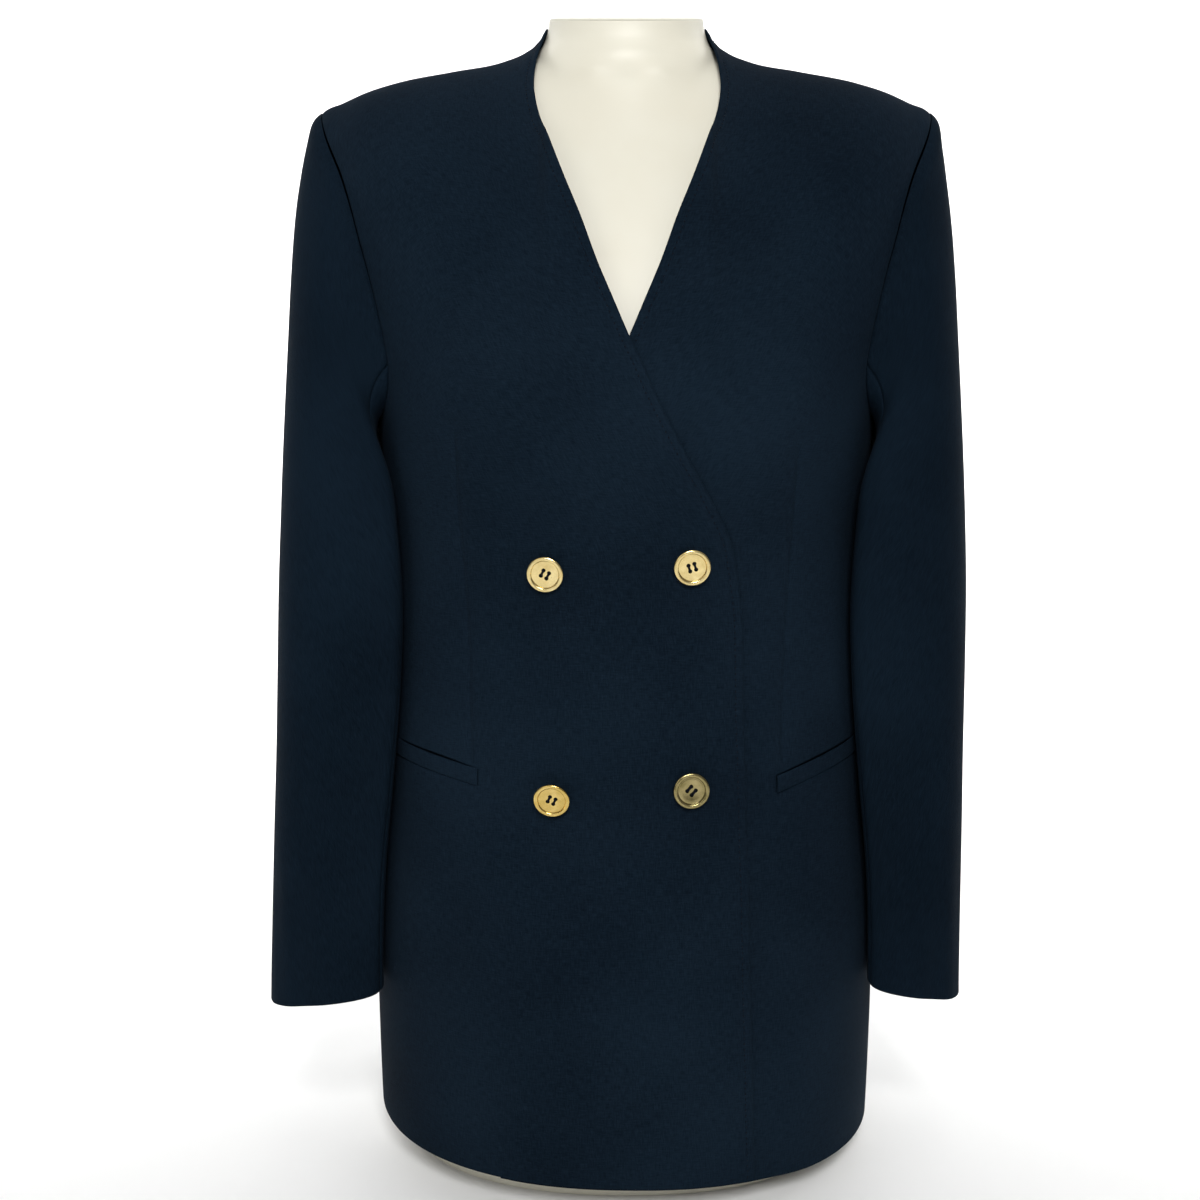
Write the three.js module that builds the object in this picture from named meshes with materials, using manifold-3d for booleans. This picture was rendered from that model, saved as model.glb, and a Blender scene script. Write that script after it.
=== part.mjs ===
// A long double-breasted blazer without a collar, on a limbless dress form.
//
// Millimetres, +Z up, the front faces -Y and the wearer's right is at -X. The form stands on
// Z = 0 and the vertical line X = 0, Y = 0 is the middle of its base. Each piece of cloth is a
// thin wall: a grid of points on the garment's outer surface, and the same grid moved inward.

import * as THREE from 'three';
import { mergeVertices } from 'three/addons/utils/BufferGeometryUtils.js';
import Module from 'manifold-3d';

// Driving dimensions

const CLOTH = 1.8;            // wall of outer cloth, interlining and lining together
const SEAM_GAP = 0.3;         // between two pieces at a seam
const ARMHOLE_GAP = 1.1;      // at the armhole, where the two edges are eased together
const SLEEVE_SEAM_GAP = 1.2;  // along the two seams of a sleeve, which twist a little
const LAP_GAP = 1.05;         // between the front that laps over and the one below it
const HEM_FRONT = 21;         // height of the hem at the centre front
const UNDERARM = 505;         // height of the underarm point
const SHOULDER_POINT = 712;   // height of the outer end of the shoulder seam
const NECK_POINT = 766;       // height where the shoulder seam meets the neckline
const BACK_NECK = 770;        // height of the neckline at the centre back
const SEAM_Y = 8;             // the plane of the side seams and the shoulder seams
const BUTTON_RADIUS = 11.5;
const WELT_SEAT = 0.55;       // from the front's surface out to a welt
const WELT_PROUD = 1.6;       // thickness of a pocket welt

// The garment's girth at each height: half width, and depth ahead of and behind Y = 0

const BODY = [
  { z: 0, half: 175, front: 150, back: 142 },
  { z: 60, half: 176.5, front: 149, back: 141 },
  { z: 140, half: 177, front: 147, back: 140 },
  { z: 200, half: 175, front: 143, back: 136 },
  { z: 270, half: 169.5, front: 136, back: 126 },
  { z: 340, half: 165, front: 130, back: 117 },
  { z: 410, half: 163, front: 130, back: 115 },
  { z: 470, half: 166, front: 136, back: 119 },
  { z: 530, half: 172.5, front: 138, back: 124 },
  { z: 565, half: 180, front: 138, back: 126 },
  { z: 600, half: 190, front: 137, back: 127 },
  { z: 640, half: 205, front: 135, back: 128 },
  { z: 680, half: 221, front: 134, back: 128 },
  { z: 712, half: 232, front: 133, back: 128 },
  { z: 840, half: 260, front: 130, back: 126 },
];
const GIRTH_POWER = 2.25;     // 2 is an ellipse, more is squarer

// The ridge that the shoulders make, from the neck outward. Inside the neck it is only a guide
// that the back's upper edge is cut from.

const RIDGE = [
  { x: 0, z: 838 },
  { x: 30, z: 812 },
  { x: 44, z: 793 },
  { x: 52.3, z: 775 },
  { x: 54.5, z: 766 },
  { x: 60, z: 757 },
  { x: 67, z: 751.8 },
  { x: 81, z: 746 },
  { x: 114, z: 739.3 },
  { x: 151, z: 732 },
  { x: 174, z: 725 },
  { x: 188, z: 719 },
  { x: 204, z: 712 },
  { x: 214, z: 700 },
  { x: 260, z: 640 },
];

// How the chest and the back curve over to the ridge. The pads round the outer end more.

const CHEST_SLOPE = { rise: 1.8, round: 1.5, padded: 1.95 };
const BACK_SLOPE = { rise: 2.6, round: 1.9, padded: 2.1 };
const PAD = { from: 60, to: 180 };

// The free edge of a front, from hem to neck, as its distance from the centre on its own side.
// It is negative where the front crosses the centre.

const FRONT_EDGE = [
  { z: 0, out: -84 },
  { z: 70, out: -81 },
  { z: 144, out: -78.5 },
  { z: 210, out: -76.5 },
  { z: 312, out: -73 },
  { z: 414, out: -67.5 },
  { z: 440, out: -62 },
  { z: 463, out: -50.5 },
  { z: 498, out: -31 },
  { z: 529, out: -15 },
  { z: 548, out: -6.5 },
  { z: 565, out: 1.8 },
  { z: 582, out: 9.5 },
  { z: 605, out: 20 },
  { z: 630, out: 30 },
  { z: 655, out: 40.8 },
  { z: 680, out: 50 },
  { z: 704, out: 57 },
  { z: 719, out: 60 },
  { z: 735, out: 61.3 },
  { z: 746, out: 60.4 },
  { z: 757, out: 57.6 },
  { z: 766, out: 54.5 },
];

// The armhole, from the underarm up to the shoulder point

const ARMHOLE = [
  { z: 505, front: 169.4, back: 169.4 },
  { z: 512, front: 161, back: 165 },
  { z: 524, front: 155.5, back: 162.5 },
  { z: 540, front: 153, back: 162 },
  { z: 560, front: 155.5, back: 164 },
  { z: 580, front: 160, back: 167.5 },
  { z: 600, front: 165, back: 171.5 },
  { z: 624, front: 172, back: 177 },
  { z: 645, front: 178, back: 182 },
  { z: 664, front: 184.5, back: 187.5 },
  { z: 695, front: 198.5, back: 199 },
  { z: 712, front: 204, back: 204 },
];
const ARMHOLE_MIDDLE = new THREE.Vector3(172, SEAM_Y, 600);

// Sections of a sleeve, from the armhole to the cuff: the outer point of each ring, the height
// of its inner point, which lies against the body, and its middle and half depth front to back

const SLEEVE = [
  { row: 0, outZ: 712, outX: 204, inZ: 505, mid: -7, half: 60 },
  { row: 1, outZ: 706, outX: 207, inZ: 504, mid: -7, half: 62 },
  { row: 2, outZ: 695, outX: 210, inZ: 502, mid: -7, half: 64 },
  { row: 3, outZ: 674, outX: 213.3, inZ: 498, mid: -8, half: 66 },
  { row: 4, outZ: 643, outX: 217, inZ: 492, mid: -9, half: 67.5 },
  { row: 5, outZ: 606, outX: 219.5, inZ: 483, mid: -11, half: 68.5 },
  { row: 6, outZ: 562, outX: 221.7, inZ: 468, mid: -14, half: 68.5 },
  { row: 7, outZ: 512, outX: 224.5, inZ: 445, mid: -18, half: 67 },
  { row: 8, outZ: 458, outX: 227.5, inZ: 415, mid: -22, half: 65 },
  { row: 9, outZ: 402, outX: 230.3, inZ: 378, mid: -25, half: 63 },
  { row: 10, outZ: 345, outX: 232, inZ: 332, mid: -27, half: 60.5 },
  { row: 11, outZ: 288, outX: 233.4, inZ: 283, mid: -29, half: 57.5 },
  { row: 12, outZ: 232, outX: 235.3, inZ: 232, mid: -31, half: 54 },
  { row: 13, outZ: 181, outX: 236.8, inZ: 190, mid: -33, half: 51 },
  { row: 14, outZ: 139, outX: 238, inZ: 154, mid: -35, half: 48.5 },
  { row: 15, outZ: 110.5, outX: 238.8, inZ: 129, mid: -36, half: 47.5 },
];
const SLEEVE_CLEAR = 0.9;     // from the body's side out to a sleeve's inner line
const SLEEVE_POWER = 2.3;
const CAP_ROWS = 8;           // the armhole's own shape fades out over these rows
const HUG_ROWS = { from: 2.7, to: 7 };  // the inner half takes up the body's curve over these
const HUG = 0.93;             // how closely it then follows that curve, up to 1
const FRONT_SLEEVE_SEAM = 128; // degrees round from the outer line
const BACK_SLEEVE_SEAM = -118;

// Soft creases pressed into a sleeve: degrees round, the rows they run between, depth, half width

const CREASES = [
  { angle: 96, from: 8.5, to: 15.5, depth: 5, width: 26 },
  { angle: 62, from: 12.5, to: 16.5, depth: 2.4, width: 20 },
  { angle: -100, from: 7.5, to: 12.5, depth: 4, width: 28 },
];

// The two sides differ a little, as they do on the real garment. A sleeve's outer line hangs
// further out by `hang` below its head, and by `swing` more at the cuff, which is higher by
// `cuffRise`. The hem is higher at the side seam than at the centre by `hemRise`.

const SIDES = [
  { name: 'right', sign: -1, laps: true, hang: 2.3, swing: 5, cuffRise: 0, hemRise: 4, weltIn: 291, weltOut: 297 },
  { name: 'left', sign: 1, laps: false, hang: -2.3, swing: -5, cuffRise: 5, hemRise: -3, weltIn: 286.5, weltOut: 299 },
];

// A pocket welt, along the front and up

const WELT = { from: 96, to: 154, height: 10 };

// Buttons: where they sit on the front that laps over, and how far each leans, in degrees

const BUTTONS = [
  { name: 'button_upper_right', x: -51, z: 418.5, nod: 4, turn: 4 },
  { name: 'button_upper_left', x: 39, z: 423, nod: 2, turn: -3 },
  { name: 'button_lower_right', x: -47, z: 276.5, nod: 12, turn: 3 },
  { name: 'button_lower_left', x: 39.5, z: 282, nod: 3, turn: -2 },
];

// A button's section from its axis outward: radius and height above its back

const BUTTON_PROFILE = [
  { r: 0, h: 0 },
  { r: 8.6, h: 0 },
  { r: 10.9, h: 1.1 },
  { r: BUTTON_RADIUS, h: 2.2 },
  { r: 10.9, h: 3.1 },
  { r: 10.1, h: 3.3 },
  { r: 9.4, h: 2.9 },
  { r: 8.6, h: 2.5 },
  { r: 5.5, h: 2.1 },
  { r: 0, h: 1.9 },
];
const BUTTON_HOLE = { radius: 1.1, offset: 1.55 };

// The dress form: a plain general figure. Its shoulders carry the garment.

const FORM = [
  { z: 0, half: 156, front: 120, back: 122 },
  { z: 80, half: 163, front: 124, back: 126 },
  { z: 150, half: 163, front: 122, back: 126 },
  { z: 230, half: 152, front: 114, back: 116 },
  { z: 310, half: 138, front: 106, back: 102 },
  { z: 370, half: 135, front: 106, back: 98 },
  { z: 440, half: 143, front: 117, back: 103 },
  { z: 490, half: 150, front: 125, back: 108 },
  { z: 540, half: 157, front: 127, back: 112 },
  { z: 620, half: 172, front: 126, back: 114 },
  { z: 700, half: 188, front: 124, back: 114 },
  { z: 800, half: 192, front: 122, back: 112 },
];
const FORM_NECK = [
  { z: 600, half: 40, front: 60, back: 40 },
  { z: 660, half: 52, front: 66, back: 62 },
  { z: 700, half: 66, front: 63, back: 67 },
  { z: 725, half: 65, front: 55, back: 66 },
  { z: 742, half: 63, front: 48, back: 64 },
  { z: 750, half: 59.5, front: 45, back: 61 },
  { z: 757, half: 54.8, front: 43.5, back: 57.5 },
  { z: 766, half: 51.6, front: 42.5, back: 55 },
  { z: 800, half: 50.3, front: 41.5, back: 52.5 },
];
const FORM_LEVELS = [0, 45, 95, 150, 205, 260, 315, 370, 425, 475, 520, 560, 600, 635, 665, 688,
  704, 716, 725, 732, 739, 744, 749, 755, 762, 769, 776];
const FORM_SIDES = 40;
const FORM_CLEAR = CLOTH + 2.1;   // from the garment's outer ridge down to the form's
const NECK_BLEND = 12;        // higher is a tighter turn where neck meets shoulder
const NECK_CUT = { from: 742, middle: 22, slope: Math.tan(THREE.MathUtils.degToRad(11)) };

// Grid sizes

const PANEL_COLUMNS = 14;
const BACK_COLUMNS = 12;
const BACK_CROWDING = 1.3;    // over 1 sets a back's columns closer near the centre
const LOWER_LEVELS = [0, 0.1, 0.215, 0.33, 0.445, 0.555, 0.66, 0.75, 0.825, 0.885, 0.945, 1];
const UPPER_LEVELS = [0.008, 0.03, 0.08, 0.15, 0.24, 0.35, 0.46, 0.57, 0.68, 0.78, 0.87, 0.94, 0.985, 1];
const UPPER_SLEEVE_COLUMNS = 14;
const UNDER_SLEEVE_COLUMNS = 8;
const UNDERARM_ROW = LOWER_LEVELS.length - 1;

// Small helpers

const wasm = await Module();
wasm.setup();

// A number held between two limits.
function clamp(value, low, high) {
  return Math.min(high, Math.max(low, value));
}

// A number part of the way from one to another.
function mix(from, to, part) {
  return from + (to - from) * part;
}

// Rises smoothly from 0 at one number to 1 at another.
function ease(from, to, value) {
  const part = clamp((value - from) / (to - from), 0, 1);
  return part * part * (3 - 2 * part);
}

// The column of a table at a place between its rows, on a smooth curve through all of them.
function along(table, key, column, at) {
  const last = table.length - 1;
  let i = 0;
  while (i < last - 1 && at >= table[i + 1][key]) {
    i += 1;
  }
  const step = (j) => table[j + 1][key] - table[j][key];
  const slope = (j) => (table[j + 1][column] - table[j][column]) / step(j);
  const tangent = (j) => {
    if (j === 0) {
      return slope(0);
    }
    if (j === last) {
      return slope(last - 1);
    }
    return (slope(j - 1) * step(j) + slope(j) * step(j - 1)) / (step(j - 1) + step(j));
  };
  const u = clamp((at - table[i][key]) / step(i), 0, 1);
  const rise = u * u * (3 - 2 * u);
  const value = mix(table[i][column], table[i + 1][column], rise);
  const leave = (u * u * u - 2 * u * u + u) * tangent(i);
  const arrive = (u * u * u - u * u) * tangent(i + 1);
  return value + step(i) * (leave + arrive);
}

// A closed mesh from outer and inner grids of points of the same size.
function wall(outer, inner) {
  const rows = outer.length;
  const columns = outer[0].length;
  const points = [...outer.flat(), ...inner.flat()];
  const faces = [];
  const quad = (a, b, c, d) => {
    faces.push(a, b, c, a, c, d);
  };
  const out = (i, j) => i * columns + j;
  const back = (i, j) => rows * columns + i * columns + j;
  for (let i = 0; i < rows - 1; i += 1) {
    for (let j = 0; j < columns - 1; j += 1) {
      quad(out(i, j), out(i, j + 1), out(i + 1, j + 1), out(i + 1, j));
      quad(back(i, j), back(i + 1, j), back(i + 1, j + 1), back(i, j + 1));
    }
    quad(out(i, 0), out(i + 1, 0), back(i + 1, 0), back(i, 0));
    quad(out(i + 1, columns - 1), out(i, columns - 1), back(i, columns - 1), back(i + 1, columns - 1));
  }
  for (let j = 0; j < columns - 1; j += 1) {
    quad(out(0, j + 1), out(0, j), back(0, j), back(0, j + 1));
    quad(out(rows - 1, j), out(rows - 1, j + 1), back(rows - 1, j + 1), back(rows - 1, j));
  }
  return closed(points, faces);
}

// A geometry from points and faces, turned so that its faces point outward.
function closed(points, faces) {
  let volume = 0;
  for (let i = 0; i < faces.length; i += 3) {
    const cross = new THREE.Vector3().crossVectors(points[faces[i + 1]], points[faces[i + 2]]);
    volume += points[faces[i]].dot(cross);
  }
  const turned = volume < 0;
  const index = [];
  for (let i = 0; i < faces.length; i += 3) {
    const [a, b, c] = faces.slice(i, i + 3);
    index.push(a, turned ? c : b, turned ? b : c);
  }
  const geometry = new THREE.BufferGeometry();
  geometry.setAttribute('position', new THREE.Float32BufferAttribute(points.flatMap((p) => p.toArray()), 3));
  geometry.setIndex(index);
  return mergeVertices(geometry, 1e-4);
}

// The normals of a grid of points, from its neighbours along rows and columns. The sign makes
// them point away from the hollow inside.
function gridNormals(grid, sign) {
  const rows = grid.length;
  const columns = grid[0].length;
  return grid.map((row, i) => row.map((point, j) => {
    const along1 = grid[i][Math.min(j + 1, columns - 1)].clone().sub(grid[i][Math.max(j - 1, 0)]);
    const along2 = grid[Math.min(i + 1, rows - 1)][j].clone().sub(grid[Math.max(i - 1, 0)][j]);
    return along1.cross(along2).normalize().multiplyScalar(sign);
  }));
}

// Moves every point of a grid along its own normal.
function moved(grid, normals, distance) {
  return grid.map((row, i) => row.map((point, j) => {
    const far = typeof distance === 'number' ? distance : distance(point);
    return point.clone().addScaledVector(normals[i][j], far);
  }));
}

// The garment's surface

// The height of the shoulder ridge over a distance from the centre.
function ridge(x) {
  return along(RIDGE, 'x', 'z', Math.abs(x));
}

// How much of its full depth the body keeps at a height, from 1 at the underarm to 0 at the ridge.
function overShoulder(x, top, z, slope) {
  const part = clamp((z - UNDERARM) / (top - UNDERARM), 0, 1);
  const round = mix(slope.round, slope.padded, ease(PAD.from, PAD.to, Math.abs(x)));
  return (1 - part ** slope.rise) ** (1 / round);
}

// The depth of a girth section at a distance from the centre, as a part of its full depth.
function girth(x, half) {
  const part = clamp(Math.abs(x) / half, 0, 1);
  return (1 - part ** GIRTH_POWER) ** (1 / GIRTH_POWER);
}

// Where the front surface lies at a place across and up.
function frontY(x, z) {
  const depth = along(BODY, 'z', 'front', z) + SEAM_Y;
  return SEAM_Y - depth * girth(x, along(BODY, 'z', 'half', z)) * overShoulder(x, ridge(x), z, CHEST_SLOPE);
}

// Where the back surface lies at a place across and up.
function backY(x, z) {
  const depth = along(BODY, 'z', 'back', z) - SEAM_Y;
  return SEAM_Y + depth * girth(x, along(BODY, 'z', 'half', z)) * overShoulder(x, ridge(x), z, BACK_SLOPE);
}

// How far out the body's side lies at a depth ahead of the side seam and a height.
function sideX(y, z) {
  const depth = along(BODY, 'z', 'front', z) + SEAM_Y;
  return along(BODY, 'z', 'half', z) * girth(y - SEAM_Y, depth);
}

// The direction in which the cloth's thickness runs along the armhole, away from its middle.
function armholeDirection(point, sign) {
  const middle = ARMHOLE_MIDDLE.clone();
  middle.x *= sign;
  return point.clone().sub(middle).normalize();
}

// A row of points from a panel's free edge to its side, spaced evenly round the girth section.
// It runs between two ends across and up, and `top` gives the cut of the upper edge.
function panelRow(edge, side, columns, lift, top, depthAt) {
  const spread = (j) => (j / columns) ** top.crowding;
  const angle = (end) => {
    const part = clamp(Math.abs(end.x) / along(BODY, 'z', 'half', end.z), 0, 1);
    return Math.sign(end.x) * Math.asin(part ** (GIRTH_POWER / 2));
  };
  const start = angle(edge);
  const finish = angle(side);
  const row = [];
  for (let j = 0; j <= columns; j += 1) {
    const turn = mix(start, finish, spread(j));
    const swept = Math.sign(turn) * Math.abs(Math.sin(turn)) ** (2 / GIRTH_POWER);
    const level = mix(edge.z, side.z, spread(j));
    const last = j === columns;
    const x = last ? side.x : swept * along(BODY, 'z', 'half', level);
    const part = clamp((x - edge.x) / (side.x - edge.x), 0, 1);
    const line = mix(edge.z, side.z, part);
    const straightTop = mix(top.edge, top.side, part);
    const z = line + lift ** 3 * (top.cut(x) - straightTop);
    row.push(new THREE.Vector3(x, depthAt(x, z), z));
  }
  return row;
}

// The rows of a front or a back, hem first, for the side with X above 0.
function panelGrid(columns, hemRise, edgeAt, neckZ, armhole, top, depthAt) {
  const rows = [];
  for (const up of LOWER_LEVELS) {
    const edgeZ = mix(HEM_FRONT, UNDERARM, up);
    const sideZ = mix(HEM_FRONT + hemRise, UNDERARM, up);
    const side = { x: along(BODY, 'z', 'half', sideZ), z: sideZ };
    rows.push(panelRow({ x: edgeAt(edgeZ), z: edgeZ }, side, columns, 0, top, depthAt));
  }
  for (const up of UPPER_LEVELS) {
    const edgeZ = mix(UNDERARM, neckZ, up);
    const sideZ = mix(UNDERARM, SHOULDER_POINT, up);
    const side = { x: along(ARMHOLE, 'z', armhole, sideZ), z: sideZ };
    rows.push(panelRow({ x: edgeAt(edgeZ), z: edgeZ }, side, columns, up, top, depthAt));
  }
  return rows;
}

// The wall of a panel. Its thickness runs in the seam's own plane at the side, the shoulder and
// the armhole, so that neighbouring pieces meet face to face.
function panelWall(grid, sideways, inset) {
  const rows = grid.length;
  const columns = grid[0].length;
  const normals = gridNormals(grid, -sideways);
  for (let i = 0; i < rows; i += 1) {
    const end = grid[i][columns - 1];
    if (i < UNDERARM_ROW) {
      normals[i][columns - 1].set(1, 0, 0);
    } else {
      normals[i][columns - 1].copy(armholeDirection(end, 1));
    }
  }
  for (let j = 0; j < columns; j += 1) {
    normals[rows - 1][j].setY(0).normalize();
  }
  const outer = moved(grid, normals, (point) => -inset(point));
  const inner = moved(grid, normals, (point) => -inset(point) - CLOTH);
  return { outer, inner };
}

// Mirrors a grid to the wearer's right where the sign is negative.
function toSide(grid, sign) {
  return grid.map((row) => row.map((point) => new THREE.Vector3(point.x * sign, point.y, point.z)));
}

// The free edge's distance from the centre on its own side.
function edgeOut(z) {
  return along(FRONT_EDGE, 'z', 'out', z);
}

// Fronts, backs, sleeves, welts, buttons and form

const FRONT_TOP = { edge: NECK_POINT, side: SHOULDER_POINT, crowding: 1, cut: ridge };
const BACK_TOP = {
  edge: BACK_NECK,
  side: SHOULDER_POINT,
  crowding: BACK_CROWDING,
  cut: (x) => Math.min(ridge(x), BACK_NECK - (BACK_NECK - NECK_POINT) * (x / 54.5) ** 2),
};

// A front. The one below is set in where the other laps over it.
function frontPiece(side) {
  const depthAt = (x, z) => Math.min(frontY(x, z), SEAM_Y - SEAM_GAP / 2);
  const grid = panelGrid(PANEL_COLUMNS, side.hemRise, edgeOut, NECK_POINT, 'front', FRONT_TOP, depthAt);
  const under = CLOTH + LAP_GAP;
  const inset = (point) => {
    if (side.laps) {
      return 0;
    }
    const beyond = point.x + edgeOut(point.z);
    return under * (1 - ease(5, 42, beyond));
  };
  const { outer, inner } = panelWall(grid, -1, inset);
  return wall(toSide(outer, side.sign), toSide(inner, side.sign));
}

// Half of the back, from the centre seam to the side.
function backPiece(side) {
  const depthAt = (x, z) => Math.max(backY(x, z), SEAM_Y + SEAM_GAP / 2);
  const centre = () => SEAM_GAP / 2;
  const grid = panelGrid(BACK_COLUMNS, side.hemRise, centre, BACK_NECK, 'back', BACK_TOP, depthAt);
  const { outer, inner } = panelWall(grid, 1, () => 0);
  for (const row of inner) {
    row[0].x = SEAM_GAP / 2;
  }
  return wall(toSide(outer, side.sign), toSide(inner, side.sign));
}

// A point on the armhole at an angle round it: 0 is the shoulder, 90 the front, 180 the underarm.
function armholePoint(angle) {
  const radians = THREE.MathUtils.degToRad(angle);
  const middle = (SHOULDER_POINT + UNDERARM) / 2;
  const z = middle + (SHOULDER_POINT - middle) * Math.cos(radians);
  const inFront = Math.sin(radians) >= 0;
  const x = along(ARMHOLE, 'z', inFront ? 'front' : 'back', z);
  return new THREE.Vector3(x, inFront ? frontY(x, z) : backY(x, z), z);
}

// A point of a sleeve ring before the armhole's own shape is added. Below the armhole the inner
// half follows the curve of the body's side.
function ringPoint(row, angle, side) {
  const at = (column) => along(SLEEVE, 'row', column, row);
  const radians = THREE.MathUtils.degToRad(angle);
  const round = (value) => Math.sign(value) * Math.abs(value) ** (2 / SLEEVE_POWER);
  const outward = (1 + round(Math.cos(radians))) / 2;
  const y = at('mid') - at('half') * round(Math.sin(radians));
  const hug = ease(HUG_ROWS.from, HUG_ROWS.to, row);
  const hugged = mix(at('mid'), y, hug);
  const across = outward * (1 - HUG * hug * (1 - outward) ** 3);
  const inX = sideX(hugged, at('inZ')) + SLEEVE_CLEAR;
  const down = ease(CAP_ROWS, SLEEVE.length - 1, row);
  const outX = at('outX') + side.hang * ease(0, 4, row) + side.swing * down;
  const z = mix(at('inZ'), at('outZ'), outward) + side.cuffRise * down;
  return new THREE.Vector3(mix(inX, outX, across), y, z);
}

// How far creases press a sleeve's surface in at a place.
function creaseDepth(row, angle) {
  let depth = 0;
  for (const crease of CREASES) {
    const apart = (angle - crease.angle) / crease.width;
    const middle = (crease.from + crease.to) / 2;
    const reach = clamp(Math.abs(row - middle) / ((crease.to - crease.from) / 2), 0, 1);
    depth += crease.depth * Math.exp(-apart * apart) * Math.cos(reach * Math.PI / 2) ** 2;
  }
  return depth;
}

// The angles round a sleeve, from the back seam over the top to the front seam and on under the
// arm to the back seam again.
function sleeveAngles() {
  const angles = [];
  for (let j = 0; j < UPPER_SLEEVE_COLUMNS; j += 1) {
    angles.push(mix(BACK_SLEEVE_SEAM, FRONT_SLEEVE_SEAM, j / UPPER_SLEEVE_COLUMNS));
  }
  for (let j = 0; j < UNDER_SLEEVE_COLUMNS; j += 1) {
    const angle = mix(FRONT_SLEEVE_SEAM, BACK_SLEEVE_SEAM + 360, j / UNDER_SLEEVE_COLUMNS);
    angles.push(angle > 180 ? angle - 360 : angle);
  }
  return angles;
}

// The whole tube of a sleeve on the side with X above 0, as outer and inner rings.
function sleeveTube(side) {
  const angles = sleeveAngles();
  const count = angles.length;
  const rings = SLEEVE.map(({ row }) => angles.map((angle) => {
    const fade = 1 - ease(0, CAP_ROWS, row);
    const set = armholePoint(angle).sub(ringPoint(0, angle, side));
    const point = ringPoint(row, angle, side).addScaledVector(set, fade);
    point.x += ARMHOLE_GAP;
    return point;
  }));
  const outer = [];
  const inner = [];
  rings.forEach((ring, i) => {
    const normals = ring.map((point, j) => {
      if (i === 0) {
        return armholeDirection(point, 1);
      }
      const next = ring[(j + 1) % count].clone().sub(ring[(j + count - 1) % count]);
      const down = rings[Math.min(i + 1, rings.length - 1)][j].clone().sub(rings[i - 1][j]);
      return next.cross(down).normalize();
    });
    const pressed = ring.map((point, j) => {
      return point.clone().addScaledVector(normals[j], -creaseDepth(SLEEVE[i].row, angles[j]));
    });
    outer.push(pressed);
    inner.push(pressed.map((point, j) => point.clone().addScaledVector(normals[j], -CLOTH)));
  });
  return { outer, inner };
}

// Some columns of a tube's rings, with each end drawn back by half a seam's gap.
function strip(rings, first, columns) {
  return rings.map((ring) => {
    const row = [];
    for (let j = 0; j <= columns; j += 1) {
      row.push(ring[(first + j) % ring.length].clone());
    }
    const start = row[1].clone().sub(row[0]).setLength(SLEEVE_SEAM_GAP / 2);
    const end = row[columns - 1].clone().sub(row[columns]).setLength(SLEEVE_SEAM_GAP / 2);
    row[0].add(start);
    row[columns].add(end);
    return row;
  });
}

// One piece of a sleeve: the columns between its two seams.
function sleevePiece(side, tube, first, columns) {
  const outer = strip(tube.outer, first, columns);
  const inner = strip(tube.inner, first, columns);
  return wall(toSide(outer, side.sign), toSide(inner, side.sign));
}

// A pocket welt: the front's own surface along the pocket, moved out.
function weltPiece(side) {
  const columns = 10;
  const rows = [0, 1].map((up) => {
    const row = [];
    for (let j = 0; j <= columns; j += 1) {
      const x = mix(WELT.from, WELT.to, Math.sin((j / columns) * Math.PI / 2));
      const part = (x - WELT.from) / (WELT.to - WELT.from);
      const z = mix(side.weltIn, side.weltOut, part) - WELT.height * (1 - up);
      row.push(new THREE.Vector3(x, frontY(x, z), z));
    }
    return row;
  });
  const normals = gridNormals(rows, 1);
  const inner = moved(rows, normals, WELT_SEAT);
  const outer = moved(rows, normals, WELT_SEAT + WELT_PROUD);
  return wall(toSide(outer, side.sign), toSide(inner, side.sign));
}

// A solid that booleans can use.
function solid(geometry) {
  const bare = geometry.clone();
  bare.deleteAttribute('normal');
  bare.deleteAttribute('uv');
  const merged = mergeVertices(bare, 1e-4);
  return new wasm.Manifold(new wasm.Mesh({
    numProp: 3,
    vertProperties: merged.attributes.position.array,
    triVerts: merged.index.array,
  }));
}

// A button lying on the plane Z = 0, with four holes.
function buttonGeometry() {
  const profile = BUTTON_PROFILE.map(({ r, h }) => new THREE.Vector2(r, h));
  const disc = new THREE.LatheGeometry(profile, 24);
  disc.rotateX(Math.PI / 2);
  let cut = solid(disc);
  for (const across of [-1, 1]) {
    for (const up of [-1, 1]) {
      const hole = new THREE.CylinderGeometry(BUTTON_HOLE.radius, BUTTON_HOLE.radius, 12, 8);
      hole.rotateX(Math.PI / 2);
      hole.translate(across * BUTTON_HOLE.offset, up * BUTTON_HOLE.offset, 0);
      cut = cut.subtract(solid(hole));
    }
  }
  const mesh = cut.getMesh();
  const geometry = new THREE.BufferGeometry();
  geometry.setAttribute('position', new THREE.BufferAttribute(mesh.vertProperties, 3));
  geometry.setIndex(new THREE.BufferAttribute(mesh.triVerts, 1));
  return geometry;
}

// Turns a button's face to the way the front faces there, with its own lean, and seats it.
function seatButton(mesh, button) {
  const spread = 3;
  const point = new THREE.Vector3(button.x, frontY(button.x, button.z), button.z);
  const across = frontY(button.x + spread, button.z) - frontY(button.x - spread, button.z);
  const upward = frontY(button.x, button.z + spread) - frontY(button.x, button.z - spread);
  const normal = new THREE.Vector3(across / (2 * spread), -1, upward / (2 * spread)).normalize();
  const nod = THREE.MathUtils.degToRad(button.nod);
  const turn = THREE.MathUtils.degToRad(button.turn);
  const facing = normal.clone();
  facing.applyAxisAngle(new THREE.Vector3(1, 0, 0), nod);
  facing.applyAxisAngle(new THREE.Vector3(0, 0, 1), turn);
  mesh.quaternion.setFromUnitVectors(new THREE.Vector3(0, 0, 1), facing);
  const lean = BUTTON_RADIUS * 0.75 * Math.sin(facing.angleTo(normal));
  mesh.position.copy(point).addScaledVector(normal, SEAM_GAP + lean);
}

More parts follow.
